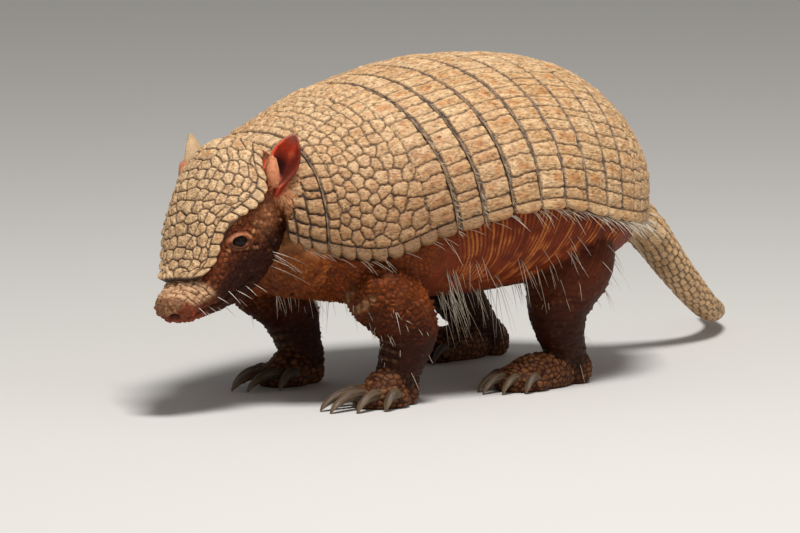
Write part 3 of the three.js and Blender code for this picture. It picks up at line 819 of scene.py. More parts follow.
def carried_frames(line):
    """Two directions across a line at each of its points, carried along without twist."""
    tangent = unit(np.gradient(line, axis=0))
    side = np.cross(tangent[0], [0, 0, 1.0])
    if np.linalg.norm(side) < 0.1:
        side = np.cross(tangent[0], [0, 1.0, 0])
    sides = []
    for direction in tangent:
        side = side - direction * (side @ direction)
        side = side / np.linalg.norm(side)
        sides.append(side)
    sides = np.array(sides)
    return tangent, sides, np.cross(tangent, sides)

# %% [markdown]
# ## Trunk, neck and head in clay
# The trunk follows the vault a few millimetres under the plates, stands in under the rim, and then
# rounds into the belly. The neck is a sleeve from the front of the trunk into the head.

# %% Trunk, neck and head
def trunk_point(s, angle):
    quarter = np.abs(angle) / (math.pi / 2)
    side = np.where(angle < 0, -1.0, 1.0)
    above = np.minimum(quarter, 1)
    a = side * above
    seat = PLATE + UNDER_PLATE + OVERHANG * above**6
    s = s + 0 * angle
    edge = shell_face(s, a) - shell_normal(s, a) * seat[..., None]
    row = between(STATIONS, s)
    turn = (np.maximum(quarter, 1) - 1) * math.pi / 2
    drop = np.sin(turn) ** 0.9
    low = np.stack([edge[..., 0] * power(np.cos(turn), 0.85), mix(edge[..., 1], row[..., 5], drop),
                    mix(edge[..., 2], row[..., 6], drop)], -1)
    return np.where((quarter <= 1)[..., None], edge, low)


def around(count):
    return np.linspace(-math.pi, math.pi, count, endpoint=False)


RING_POINTS = 128
turns = around(RING_POINTS)
add_clay("trunk", trunk_point(np.linspace(SHOULDER_FRONT - 0.1, TRUNK_END, 60)[:, None],
                              turns[None, :]))
body_ring = trunk_point(np.array([[SHOULDER_FRONT - 0.015]]), turns[None, :])[0]
head_ring = head_skin(np.full(RING_POINTS, float(NECK_RING)), turns, -1.0)
reach = np.linspace(-0.12, 1, 24)[:, None, None]
add_clay("neck", mix(body_ring[None], head_ring[None], reach))

NOSE_START, NOSE_END, NOSE_ROUNDING = 104, 111, 8.2
sections = np.concatenate([np.linspace(1, NOSE_START, 70), NOSE_END - (NOSE_END - NOSE_START)
                           * np.linspace(1, 0, 12)[1:] ** 2])
rings = head_skin(sections[:, None], turns[None, :], 0.0)
spine = rings.mean(axis=1, keepdims=True)
past_start = (sections - NOSE_START) / NOSE_ROUNDING
closing = np.where(past_start > 0, np.sqrt(np.maximum(1 - past_start**2, 0.05)), 1)
rings = spine + (rings - spine) * closing[:, None, None]
add_clay("head", rings)


def lump(region, centre, radii, heading):
    """A rounded lump, flattened where it meets the floor."""
    polar = np.linspace(0.02, math.pi - 0.02, 18)[:, None]
    turn = around(28)[None, :]
    forward = radii[0] * np.sin(polar) * np.cos(turn)
    across = radii[1] * np.sin(polar) * np.sin(turn)
    x = centre[0] + forward * math.cos(heading) - across * math.sin(heading)
    y = centre[1] + forward * math.sin(heading) + across * math.cos(heading)
    z = np.maximum(0, centre[2] + radii[2] * np.cos(polar) + 0 * turn)
    add_clay(region, np.stack([x, y, z], -1))


print("head sections:", len(sections), "trunk, neck and head lumps:", len(clay))

# %% [markdown]
# ## Ears in clay
# An ear is a leaf rolled into a funnel at its root. It is drawn along an axis from root to tip, and
# its hollow side looks out and a little ahead.

# %% Ears in clay
def ear_axes(name, side):
    """The root, the tip, the unit axis between them and the way that the hollow side looks."""
    root, tip = (head_to_body(along, up, out * side)
                 for along, up, out in (EAR_ROOT, EAR_TIP[name]))
    axis = (tip - root) / np.linalg.norm(tip - root)
    hollow = HEAD_LEFT * side + HEAD_FORWARD * 0.45 + HEAD_UP * 0.35
    return root, tip, axis, unit(hollow - axis * (hollow @ axis))


def rings_along(line, side_a, side_b, radius, turn):
    """Rings of points round a line, from two directions across it."""
    c, s = np.cos(turn)[None, :, None], np.sin(turn)[None, :, None]
    return line[:, None] + radius[:, None, None] * (side_a[:, None] * c + side_b[:, None] * s)


def ear_clay(name, side):
    root, tip, axis, hollow = ear_axes(name, side)
    height = np.linalg.norm(tip - root)
    across = np.cross(axis, hollow)
    a = np.linspace(-1, 1, 49)[None, :]
    v = np.linspace(-0.12, 1, 49)[:, None]
    high = np.maximum(v, 0)
    roll = np.radians(mix(150, 62, high ** 0.7))
    half = EAR_HALF_WIDTH * (0.60 + 0.46 * np.sin(math.pi * high**1.1) - 0.2 * high**4)
    half = half * np.sqrt(1 - (0.97 * high) ** 10)
    rings = []
    for depth in (EAR_THICKNESS, 0.0):
        radius = half / np.sin(np.minimum(roll, math.pi / 2)) + depth
        turn = a * roll
        lift = height * v - (1 - np.cos(a * 1.2)) * 4 * high**2
        rings.append(root + axis * lift[..., None] + across * (np.sin(turn) * radius)[..., None]
                     + hollow * (-np.cos(turn) * radius + half * 0.4)[..., None])
    loop = np.concatenate([rings[0], rings[1][:, ::-1]], axis=1)
    add_clay("ear_" + name, loop)
    # the front margin is rolled into a thick lobe that runs down below the opening
    first, last = rings[1][:, 0], rings[1][:, -1]
    front_edge = first if (first[20] - last[20]) @ HEAD_FORWARD > 0 else last
    lobe_line = front_edge[3:27] + hollow
    share = np.linspace(0, 1, len(lobe_line))
    low_end = HEAD_LEFT * side * 4 - HEAD_FORWARD * 2.5 - axis * 2.5
    lobe_line = lobe_line + (1 - share[:, None]) ** 1.6 * low_end
    thick = 1.2 + 2.7 * np.sin(math.pi * (0.2 + 0.74 * share))
    thick = thick * np.sqrt(np.maximum(1 - (1 - np.minimum(share / 0.16, 1))**2, 0.05))
    ear_lobes[name] = lobe_line, thick
    _, side_a, side_b = carried_frames(lobe_line)
    add_clay("ear_" + name, rings_along(lobe_line, side_a, side_b, thick, around(20)))


EARS = (("left", 1), ("right", -1))
for name, side in EARS:
    ear_clay(name, side)
print("ear lobes:", {name: len(line) for name, (line, _) in ear_lobes.items()}, "rings")

# %% [markdown]
# ## Legs and feet in clay
# A leg is a tube along a smooth line through its joints. A foot is a heel, a palm and five toes,
# all flat on the floor.

# %% Legs and feet in clay
def foot_frame(leg):
    (hx, hy), (tx, ty) = leg["heel"], leg["toes"]
    heading = math.atan2(ty - hy, tx - hx)
    mirror = 1 if hx > 0 else -1
    sideways = heading + mirror * math.pi / 2

    def at(forward, out):
        return (tx + math.cos(heading) * forward + math.cos(sideways) * out,
                ty + math.sin(heading) * forward + math.sin(sideways) * out)
    return heading, mirror, at, math.hypot(tx - hx, ty - hy)


for name, leg in LEGS.items():
    t = np.linspace(0, 1, 40)
    line = smooth_line([j[:3] for j in leg["joints"]], t)
    radius = between(np.array(leg["joints"])[:, 3:], t * 3)[:, 0]
    _, side, other = carried_frames(line)
    turn = around(56)
    rings = (line[:, None] + side[:, None] * (np.cos(turn)[None, :, None] * radius[:, None, None])
             + other[:, None] * (np.sin(turn)[None, :, None] * radius[:, None, None]))
    add_clay("leg_" + name, rings)
    kind = FEET[leg["kind"]]
    heading, mirror, at, long = foot_frame(leg)
    *ankle, ankle_radius = leg["joints"][-1]
    lump("leg_" + name, ankle, (ankle_radius * 1.04,) * 3, heading)
    region = "foot_" + name
    lump(region, (*at(2 - long, 0), 8), (kind["heel"], kind["heel"], 12), heading)
    lump(region, (*at(-0.42 * long, 0), 7),
         (long * 0.5, kind["ball"] * 0.92, kind["height"] - 7), heading)
    lump(region, (*at(-5, 0.6), 5), (15, kind["ball"], 10), heading)
    for out, forward, size, _, turn_out in kind["toes"]:
        aim_toe = heading + mirror * math.radians(turn_out)
        lump(region, (*at(forward - size * 0.5, out), 4.6), (size * 1.9, size * 0.92, size * 0.95),
             aim_toe)
print("clay lumps:", len(clay))

# %% [markdown]
# ## Melting the clay into one skin
# A voxel remesh turns all lumps into one closed surface of small even faces. Averaging each point
# with its neighbours will soften the places where two lumps meet.

# %% Remesh
VOXEL_MM = 0.68


def remeshed(lumps, voxel_mm):
    count, points, faces = 0, [], []
    for _, pts, fcs in lumps:
        faces += [f + count for f in fcs]
        points.append(pts)
        count += len(pts)
    rough = mesh_object("clay", np.concatenate(points), faces)
    melt = rough.modifiers.new("melt", "REMESH")
    melt.mode = "VOXEL"
    melt.voxel_size = voxel_mm / 1000
    solid = rough.evaluated_get(bpy.context.evaluated_depsgraph_get())
    mesh = bpy.data.meshes.new_from_object(solid)
    bpy.data.objects.remove(rough)
    return mesh


def mesh_points(mesh):
    return read_all(mesh.vertices, "co", 3).astype(float) * 1000 - FRAME_SHIFT


def mesh_edges(mesh):
    return read_all(mesh.edges, "vertices", 2, np.int32)


def softened(points, edges, rounds, share=0.5, where=None):
    """Each point moves part of the way to the mean of its neighbours, again and again."""
    a, b = edges.T
    count = np.bincount(a, minlength=len(points)) + np.bincount(b, minlength=len(points))
    weight = share if where is None else share * where[:, None]
    for _ in range(rounds):
        total = np.stack([np.bincount(a, points[b, k], len(points))
                          + np.bincount(b, points[a, k], len(points))
                          for k in range(points.shape[1])], -1)
        points = points + weight * (total / count[:, None] - points)
    return points


def triangles_of(mesh):
    mesh.calc_loop_triangles()
    return read_all(mesh.loop_triangles, "vertices", 3, np.int32)


def point_normals(points, triangles):
    a, b, c = (points[triangles[:, k]] for k in range(3))
    face = np.cross(b - a, c - a)
    total = np.zeros_like(points)
    for k in range(3):
        for axis in range(3):
            total[:, axis] += np.bincount(triangles[:, k], face[:, axis], len(points))
    return unit(total)


skin_mesh = remeshed(clay, VOXEL_MM)
print("melted skin:", len(skin_mesh.vertices), "points,", len(skin_mesh.polygons), "faces")

# %% [markdown]
# ## Finer faces on the head
# Lids, lips and snout scales are under a millimetre deep, so the head needs smaller faces than the
# flank. The faces of its bare parts are split once more.

# %% Split the head's faces
def split_faces(mesh, chosen):
    sculpt = bmesh.new()
    sculpt.from_mesh(mesh)
    edges = [e for e in sculpt.edges if chosen[e.verts[0].index] and chosen[e.verts[1].index]]
    bmesh.ops.subdivide_edges(sculpt, edges=edges, cuts=1, use_grid_fill=True)
    bmesh.ops.triangulate(sculpt, faces=[f for f in sculpt.faces if len(f.verts) > 4])
    sculpt.to_mesh(mesh)
    sculpt.free()


place = mesh_points(skin_mesh)
along, up, out = body_to_head(place)
level = head_section(along)[0] - 14
bare_face = (along > 38) & (up < level + 9)
snout = along > 84
split_faces(skin_mesh, (bare_face | snout) & (along > 38))
raw = mesh_points(skin_mesh)
links, corners = mesh_edges(skin_mesh), triangles_of(skin_mesh)
print("after splitting:", len(raw), "points")

# %% [markdown]
# ## Which lump is nearest
# A search tree over the clay's points tells each skin point its region, so that each region gets
# its own relief. The sharp answer is blurred along the surface, so that one kind of relief fades
# into the next. Where regions mix, the surface itself is softened too.

# %% Regions of the skin
REGIONS = ("trunk", "neck", "head", "ear", "leg", "foot")
tree_points = np.concatenate([pts for _, pts, _ in clay])
tree_region = np.concatenate([np.full(len(pts), REGIONS.index(name.split("_")[0]))
                              for name, pts, _ in clay])
finder = KDTree(len(tree_points))
for k, point in enumerate(tree_points):
    finder.insert(point, k)
finder.balance()
blocks, block_of = np.unique(np.round(raw / 1.8).astype(np.int64) @ [1, 4096, 4096**2],
                             return_inverse=True)
sample = np.zeros(len(blocks), int)
sample[block_of] = np.arange(len(raw))
nearest = np.array([finder.find(point)[1] for point in raw[sample]])[block_of]
share_of = np.eye(len(REGIONS))[tree_region[nearest]]
share_of = softened(share_of, links, 10)
trunk, neck, head, ear, leg, foot = share_of.T
print({name: int((share_of[:, k] > 0.5).sum()) for k, name in enumerate(REGIONS)})

junction = 1 - (share_of**2).sum(1)
junction = softened(np.minimum(junction * 4, 1)[:, None], links, 10)[:, 0]
junction = junction * (ear < 0.05) * (1 - foot)
base = softened(raw, links, 4)
base = softened(base, links, 46, where=junction)
base[:, 2] = np.maximum(base[:, 2], 0)
normal = point_normals(base, corners)
wide_normal = point_normals(softened(base, links, 10), corners)

# %% [markdown]
# ## Eyelids
# A small dark eye sits between thick round lids. In the opening the skin is pressed in until it
# lies just behind the ball. The lid is a roll that stands over the ball, with a groove and a
# second fold around it.

# %% Eyelids
LID_LONG, LID_HIGH = 4.2, 2.85
EYE_SLANT = math.radians(46)
EYE_LINE = HEAD_FORWARD * math.cos(EYE_SLANT) + HEAD_UP * math.sin(EYE_SLANT)
eye_frames = []
for side in (1, -1):
    centre = head_to_body(EYE_PLACE[0], EYE_PLACE[1], side * EYE_PLACE[2])
    near = np.linalg.norm(base - centre, axis=1) < 9
    outward = unit(wide_normal[near].mean(axis=0))
    forward = unit(EYE_LINE - outward * (EYE_LINE @ outward))
    eye_frames.append((centre, outward, forward, np.cross(forward, outward) * side))

eye_mask, lid_tone, lid_low_shade, socket, eye_fold = np.zeros((5, len(base)))
for centre, outward, forward, upward in eye_frames:
    offset = base - centre
    x, y, h = offset @ forward, offset @ upward, offset @ outward
    here = (x**2 + y**2 < 15**2) & (h > -8)
    corner = 1 + 0.06 * np.abs(x) / LID_LONG
    e = np.hypot(x / (LID_LONG * corner), y / LID_HIGH)
    ball = np.sqrt(np.maximum(EYE_RADIUS**2 - x**2 - y**2, 0))
    lid_top = np.sqrt(np.maximum(EYE_RADIUS**2 - np.minimum(x**2 + y**2, LID_LONG**2), 0))
    roll = np.clip((e - 1) / 0.72, 0, 1)
    swell = np.sin(np.pi * roll)
    lid = lid_top + 0.35 + 1.5 * swell ** 0.8 + 0.45 * (y > 0) * swell
    inner = ball - 1.5
    h_new = mix(inner, lid, ramp(0.93, 1.03, e))
    fade = ramp(1.5, 3, e)
    creases = 0.6 * np.sin((e - 1.62) * 2 * np.pi / 0.62) * ramp(1.5, 1.75, e) * ramp(3.1, 2, e)
    creases = creases * (0.7 + 0.6 * noise(base, 3, 31))
    h_new = mix(h_new, h, fade) + creases
    base = np.where(here[:, None], base + outward * (h_new - h)[:, None], base)
    eye_mask = np.where(here, np.maximum(eye_mask, 1 - ramp(1.45, 2.1, e)), eye_mask)
    on_lid = ramp(0.98, 1.12, e) * ramp(1.9, 1.5, e)
    lid_tone = np.where(here, np.maximum(lid_tone, on_lid), lid_tone)
    # painted shade: the lower half of the lids is marked for a darker colour
    lid_low_shade = np.where(here, ramp(1.8, -0.8, y), lid_low_shade)
    eye_fold = np.where(here, np.maximum(eye_fold, ramp(0, -0.4, creases)), eye_fold)
    socket = np.where(here, np.maximum(socket, ramp(1.07, 0.98, e)), socket)
normal = point_normals(base, corners)
print("eyelid points:", int((eye_mask > 0).sum()))

# %% [markdown]
# ## Relief by region
# Now the skin gets its folds. Cells give pebbles and scales, sines bent by noise give wrinkles. All
# heights are in millimetres along the surface's own direction.

# %% Cells and wrinkles
def cells(points, size, salt, jitter=0.36):
    """Distance to the nearest seed, gap to the second nearest, and a draw for the cell."""
    p = points / size
    first = np.floor(p - 0.5)
    near = np.full(len(p), 9.0)
    second = near.copy()
    tag = np.zeros(len(p))
    for k in range(8):
        cell = first + [k & 1, k >> 1 & 1, k >> 2]
        draws = [draw3(*cell.T, salt + n) for n in range(3)]
        seed = cell + 0.5 + jitter * 2 * (np.stack(draws, -1) - 0.5)
        reach = np.linalg.norm(p - seed, axis=1)
        second = np.where(reach < near, near, np.minimum(second, reach))
        tag = np.where(reach < near, draws[0], tag)
        near = np.minimum(near, reach)
    return near, second - near, tag


def folds(phase, sharpness=0.7):
    """Rounded ridges with sharp grooves between them: 1 on a ridge, 0 in a groove."""
    return np.abs(np.sin(np.pi * phase)) ** sharpness


def patch(mask, function):
    """Works values out only where a mask is above zero, and leaves zeros elsewhere."""
    found = function(mask > 0.01)
    results = np.zeros((len(found), len(mask)))
    results[:, mask > 0.01] = found
    return results


x, y, z = base.T
along, up, out = body_to_head(base)
stations = np.linspace(0, TAIL_NOTCH, 60)
rim_line = shell_face(stations, np.ones(len(stations)))
rim_z = np.interp(y, rim_line[:, 1], rim_line[:, 2])
relief = np.zeros(len(base))
# the ridge colour is a painted highlight and the groove colour is painted shade, laid on folds and
# wrinkles
SKIN_FLANK, SKIN_GROOVE_SHADE, SKIN_RIDGE_HIGHLIGHT = colour("#8E3F1E"), colour("#3E150A"), colour("#E6985E")
SKIN_CHEST, SKIN_BELLY, SKIN_NECK = colour("#98501F"), colour("#7C4024"), colour("#966039")
SKIN_LEG, SKIN_SCALE, SKIN_FACE = colour("#6B371C"), colour("#AE8056"), colour("#824627")
SKIN_PALE, SKIN_CREASE_SHADE, SKIN_SNOUT = colour("#DCC0A4"), colour("#24100A"), colour("#A8886E")
SKIN_NOSE, SKIN_EAR, SKIN_EAR_PALE = colour("#8E4630"), colour("#C4452A"), colour("#DDB88E")

tint = (trunk[:, None] * SKIN_FLANK + neck[:, None] * SKIN_NECK + head[:, None] * SKIN_FACE
        + ear[:, None] * SKIN_EAR + leg[:, None] * SKIN_LEG + foot[:, None] * SKIN_LEG)


def paint(over, amount):
    """Lays a colour over the tint of the skin."""
    global tint
    tint = lay(tint, over, amount)


belly = trunk * ramp(8, 0, z - np.interp(y, rim_line[:, 1], between(STATIONS, stations)[:, 6]))
print("points under the rim:", int((z < rim_z).sum()))
paint(SKIN_BELLY, belly)

# %% [markdown]
# ## Flank and shoulder
# Under the rim the flank hangs in fine curved pleats that fan out from the elbow. The shoulder and
# chest are thick pebbled leather. The thigh is smoother, with soft wrinkles.

# %% Flank pleats and leather
fan_angle = np.degrees(np.arctan2(z + 7, y + 22))
bend = 1.0 * noise(base, 34, 41) + 0.5 * noise(base, 9, 42)
pleat_phase = (fan_angle + bend) / 1.5
pleat_luck = draw3(np.floor(pleat_phase), 0 * x, 0 * x, 44)
pleat = folds(pleat_phase, 1.2) * (0.4 + 0.75 * pleat_luck + 0.7 * noise(base, 5, 43))
pleat_zone = (trunk + 0.25 * leg) * ramp(-62, -40, y) * ramp(88, 62, y) * ramp(56, 74, z)
pleat_zone = pleat_zone * ramp(3, -1, z - rim_z)
relief += pleat_zone * 0.9 * (pleat - 0.4)
# painted highlight on the ridges of the pleats, painted shade in their grooves
paint(SKIN_RIDGE_HIGHLIGHT, 0.8 * pleat_zone * ramp(0.45, 1, pleat))
paint(SKIN_GROOVE_SHADE, 0.5 * pleat_zone * ramp(0.35, 0.02, pleat))

leather = (trunk * ramp(-52, -74, y) + 0.85 * neck * ramp(22, -8, z - rim_z)
           + leg * ramp(30, 46, z) * ramp(-24, -50, y))
leather = np.clip(leather * ramp(2, -5, z - rim_z), 0, 1)
gap, tone = patch(leather, lambda m: cells(base[m] * [1, 1, 1.25] + 1.1 * np.stack(
    [noise(base[m], 3, salt) for salt in (51, 52, 53)], -1) * 1.5, 3.3, 54)[1:])
lumps = ramp(0, 0.62, gap)
coarse = noise(base, 7, 55)
relief += leather * (1.15 * lumps + 1.3 * coarse + 0.9 * (tone - 0.5) * lumps)
paint(SKIN_CHEST * (1 + 0.3 * coarse[:, None]), leather * 0.85)
paint("#B2662A", leather * 0.6 * lumps * ramp(0.3, 1, tone + 0.3 * coarse))
paint("#3A180C", leather * 0.7 * ramp(0.3, 0.02, gap))

soft_zone = np.clip(trunk + leg + neck - leather - pleat_zone, 0, 1) * (z < rim_z + 4)
wave = noise(base * [1, 1, 2.2], 5, 61)
fine = noise(base * [1, 1, 2.6], 1.7, 62)
relief += soft_zone * (0.4 * wave + 0.22 * fine)
# painted shade in the hollows of the soft wrinkles
paint(SKIN_GROOVE_SHADE, soft_zone * 0.3 * ramp(0.1, -0.6, fine) + 0.2 * soft_zone * ramp(0, -0.7, wave))
print("points in pleats:", int((pleat_zone > 0.5).sum()), "in leather:", int((leather > 0.5).sum()))

# %% [markdown]
# ## Legs and feet
# The legs have cross folds. The fore legs wear rings of pale scales in front. The feet are covered
# with rounded scales like those of a tortoise.

# %% Legs and feet
leg_depth = np.zeros(len(base))
for name, limb in LEGS.items():
    line = smooth_line([j[:3] for j in limb["joints"]], np.linspace(0, 1, 80))
    across = np.linalg.norm(base[:, None, :2] - line[None, ::16, :2], axis=2).min(1)
    mine = (leg + foot > 0.02) & (across < 42)
    mine &= (np.sign(x) == np.sign(line[-1, 0])) & (np.abs(y - line[:, 1].mean()) < 62)
    close = ((base[mine][:, None] - line[None]) ** 2).sum(2).argmin(1)
    leg_depth[mine] = lengths_along(line)[close]
limb_zone = leg * ramp(12, 20, z) * ramp(66, 54, z)
cross_phase = leg_depth / 2.6 + 0.55 * noise(base, 7, 71)
cross = folds(cross_phase, 0.8)
relief += limb_zone * (0.38 * cross - 0.2) * (0.7 + 0.5 * noise(base, 9, 72))
# painted shade in the grooves of the cross folds, painted highlight on their ridges
paint(SKIN_GROOVE_SHADE, limb_zone * 0.5 * ramp(0.5, 0.1, cross))
paint("#9B5C38", limb_zone * 0.35 * ramp(0.5, 1, cross))

fore = ramp(-40, -60, y)
ring_front = fore * leg * ramp(16, 24, z) * ramp(70, 58, z) * ramp(0.72, 0.97, -wide_normal[:, 1])
ring_break = 0.5 + 0.5 * np.sin(2 * np.pi * x / 4.4 + 2 * noise(base, 6, 73))
ring = folds(leg_depth / 5.6, 1.6) ** 2 * (0.45 + 0.55 * ring_break)
relief += ring_front * 1.1 * ring
paint(SKIN_PALE, ring_front * 0.85 * ramp(0.25, 0.8, ring))

wart_zone = np.clip(leg + 0.4 * foot, 0, 1) * ramp(70, 56, z) * (1 - ring_front)
near, gap, tone = patch(wart_zone, lambda m: cells(base[m], 3.1, 75, 0.3))
wart = ramp(0.42, 0.2, near) * (tone > 0.45) * wart_zone
relief += 0.55 * wart
paint(SKIN_SCALE, 0.55 * wart)

foot_zone = np.clip(foot + leg * ramp(26, 12, z), 0, 1) * ramp(0.4, 2, z)
_, gap, tone = patch(foot_zone, lambda m: cells(base[m] * [1, 1, 1.2], 3.9, 77))
scale = ramp(0.02, 0.34, gap)
relief += foot_zone * (0.75 * scale - 0.3 + 0.3 * (tone - 0.5) * scale)
paint(mix(colour("#7C563C"), colour("#A67B58"), tone[:, None]), foot_zone * 0.9 * scale)
paint("#2B180F", foot_zone * 0.85 * ramp(0.22, 0.03, gap))
print("depth along the legs, mm:", round(leg_depth.max(), 1))

# %% [markdown]
# ## Neck
# Behind the ears the skin is thin and finely wrinkled, with spokes that run together at the ear.

# %% Neck
thin = neck * (1 - leather)
fan = noise(base * [1, 2.6, 1], 2.2, 81)
ring_neck = folds(along / 4.6 + 0.8 * noise(base, 12, 82), 0.8)
relief += thin * (0.45 * fan + 0.7 * ring_neck * ramp(-8, -30, up))
# painted shade in the hollows of the fine wrinkles and in the grooves of the rings
paint("#6B4230", thin * (0.5 * ramp(0.1, -0.5, fan) + 0.3 * ramp(0.5, 0.1, ring_neck)))
paint("#B5734C", thin * 0.5 * ramp(0.1, 0.6, noise(base, 9, 83)))
ear_root = head_to_body(*EAR_ROOT)
from_ear = base - ear_root * np.where(x > 0, 1, -1)[:, None] * [1, 0, 0] - ear_root * [0, 1, 1]
spoke = folds(np.degrees(np.arctan2(from_ear[:, 2], from_ear[:, 1])) / 8 + 0.9 * noise(base, 7, 79))
spoke_zone = np.clip(thin + 0.5 * head * (along < 30), 0, 1)
spoke_zone = spoke_zone * ramp(46, 26, np.linalg.norm(from_ear, axis=1))
relief += spoke_zone * (0.7 * spoke - 0.4)
# painted highlight on the ridges of the spokes, painted shade in their grooves
paint("#A07A5E", spoke_zone * 0.7 * ramp(0.4, 0.9, spoke))
paint("#50362A", spoke_zone * 0.75 * ramp(0.6, 0.15, spoke))
print("points of thin neck skin:", int((thin > 0.5).sum()))

# %% [markdown]
# ## Cheek and jaw
# The cheek is pebbled and wrinkled. It has a crease behind the eye and pale warts, and painted shade
# darkens it under the eye and along its lower edge, below the shield.

# %% Cheek and jaw
bare = head * (1 - eye_mask)
cap_level, chin_level = head_section(along)[:2]
jaw_depth = np.clip((cap_level - up) / (cap_level - chin_level), 0, 1)
wrinkle = noise(base, 2.6, 84)
fine_face = noise(base, 1.1, 85)
relief += bare * (0.62 * wrinkle + 0.34 * fine_face)
near, gap, tone = patch(bare, lambda m: cells(base[m], 2.9, 86, 0.4))
pebble = ramp(0.05, 0.4, gap)
cheek = bare * ramp(80, 60, along) * ramp(12, 26, along)
relief += bare * 0.5 * pebble
paint("#B87E56", bare * 0.5 * pebble * ramp(0.4, 0.9, tone))
# dark seams between the pebbles, and painted shade in the hollows of the wrinkles
paint("#3E1F14", bare * (0.6 * ramp(0.22, 0.03, gap) + 0.5 * ramp(0, -0.6, wrinkle)))
big_wart = ramp(0.5, 0.3, near) * (tone > 0.8) * cheek * ramp(-12, -20, up) * ramp(-52, -42, up)
relief += 0.8 * big_wart
paint("#C49A74", 0.85 * big_wart)
crease = ramp(2, 0, np.abs(along - 45.2 - 0.1 * (up + 28) - 1.2 * noise(base, 6, 87)))
crease = crease * head * ramp(-62, -46, up) * ramp(-16, -26, up)
relief -= 1.0 * crease
# painted shade in the crease behind the eye
paint(SKIN_CREASE_SHADE, 0.7 * crease)
from_eye = np.stack([along, up, np.abs(out)], -1) - EYE_PLACE
under_eye = ramp(20, 3, np.linalg.norm(from_eye - [9, -9, -2], axis=1))
behind_eye = ramp(14, 6, np.linalg.norm(from_eye - [-19, -8, 3], axis=1))
paint("#B08263", 0.4 * bare * behind_eye)
# painted shade: the lower face and the skin under the eye are darkened, as in the shield's shadow
low_face = bare * ramp(-20, -42, up - 0.25 * (along - 57)) * ramp(8, 40, along)
shade_face = (1.05 * low_face + 0.4 * under_eye * bare) * (1 + 0.35 * wrinkle)
paint("#2B0F06", np.clip(shade_face, 0, 0.93))
print("points of bare face:", int((bare > 0.5).sum()))

# %% [markdown]
# ## Snout and lips
# The snout wears rows of cream scales above and ends in a grainy pad with two round nostrils. The
# mouth is a long groove. The lids get their colours here too.

# %% Snout and lips
snout_top = head * ramp(86, 90, along) * ramp(105.5, 102.5, along) * ramp(0.58, 0.36, jaw_depth)
row_phase = (along - 90) / 3.4 + 0.3 * noise(base, 5, 92)
shift = np.floor(row_phase) % 2 * 0.5
turn = np.degrees(np.arctan2(out, up - chin_level))
column_phase = turn / 21 + shift + 0.3 * noise(base, 4, 88)
in_row = np.abs(row_phase - np.floor(row_phase) - 0.5) * 2
in_column = np.abs(column_phase - np.floor(column_phase) - 0.5) * 2
snout_scale = ramp(1, 0.72, in_row) * ramp(1, 0.8, in_column)
relief += snout_top * (0.75 * snout_scale - 0.15)
paint(mix(SKIN_SNOUT, SKIN_PALE, snout_scale[:, None]), 0.92 * snout_top)
paint("#4A2C1E", 0.85 * snout_top * ramp(0.45, 0.1, snout_scale))
paint("#8C6A52", 0.5 * snout_top * ramp(0.1, -0.5, noise(base, 1.8, 100)))
muzzle = head * ramp(84, 96, along) * (1 - snout_top)
paint("#6E3A26", 0.6 * muzzle * ramp(0.9, 0.6, jaw_depth))
pad = head * ramp(101.5, 105.5, along + 0.3 * (-up - 12) + 0.8 * noise(base, 3, 98))
_, gap, _ = patch(pad, lambda m: cells(base[m], 1.5, 89))
relief += pad * 0.22 * ramp(0.05, 0.4, gap)
paint(lay("#A4846A", SKIN_NOSE, ramp(-12.5, -15.5, up)), 0.92 * pad)
paint("#8A5A42", 0.5 * pad * ramp(0.2, -0.4, noise(base, 2, 99)))
paint("#4A2818", 0.35 * pad * ramp(0.25, 0.05, gap))

nostril = np.zeros(len(base))
for side in (1, -1):
    hole = head_to_body(111.8, -17.4, side * 4.6)
    reach = np.linalg.norm(base - hole, axis=1)
    nostril = np.maximum(nostril, ramp(4.3, 3, reach))
    relief += head * (0.8 * ramp(5.9, 4.8, reach) * ramp(3.6, 4.4, reach))
relief -= 2.6 * nostril
# painted shade: the nostril holes are nearly black inside
paint("#120806", nostril)
print("nostril points:", int((nostril > 0.5).sum()))

lip_up = np.interp(along, [58, 75, 90, 100, 107], [-46, -40, -33.5, -27, -23])
lip = ramp(1.6, 0, np.abs(up - lip_up - 0.6 * noise(base, 7, 90))) * head * ramp(58, 66, along)
lip = lip * ramp(109, 106, along)
relief -= 1.3 * lip
relief += 0.5 * head * ramp(3.6, 1.8, np.abs(up - lip_up)) * (1 - lip) * ramp(60, 70, along)
# painted shade in the groove of the mouth
paint(SKIN_CREASE_SHADE, 0.85 * lip)

# painted shade in the creases round the eye
paint("#4A2A1C", 0.6 * eye_fold)
paint("#BC866A", 0.9 * lid_tone)
# painted shade on the lower half of the lids
paint("#3E2218", 0.9 * lid_tone * lid_low_shade)
paint("#7A4630", 0.5 * lid_tone * ramp(-0.1, -0.5, noise(base, 1.2, 91)))
# painted shade: the skin just behind the ball, at the inner edge of the lids, is nearly black
paint("#1C0D09", socket)
relief *= 1 - 0.85 * eye_mask

# %% [markdown]
# ## Ears
# Inside, the ear is red with blood, and painted shade turns it nearly black towards the canal and
# along its rear edge, where it meets the skin. Its rim and back are paler and pebbled. The right ear
# is in the light from behind and looks cream.

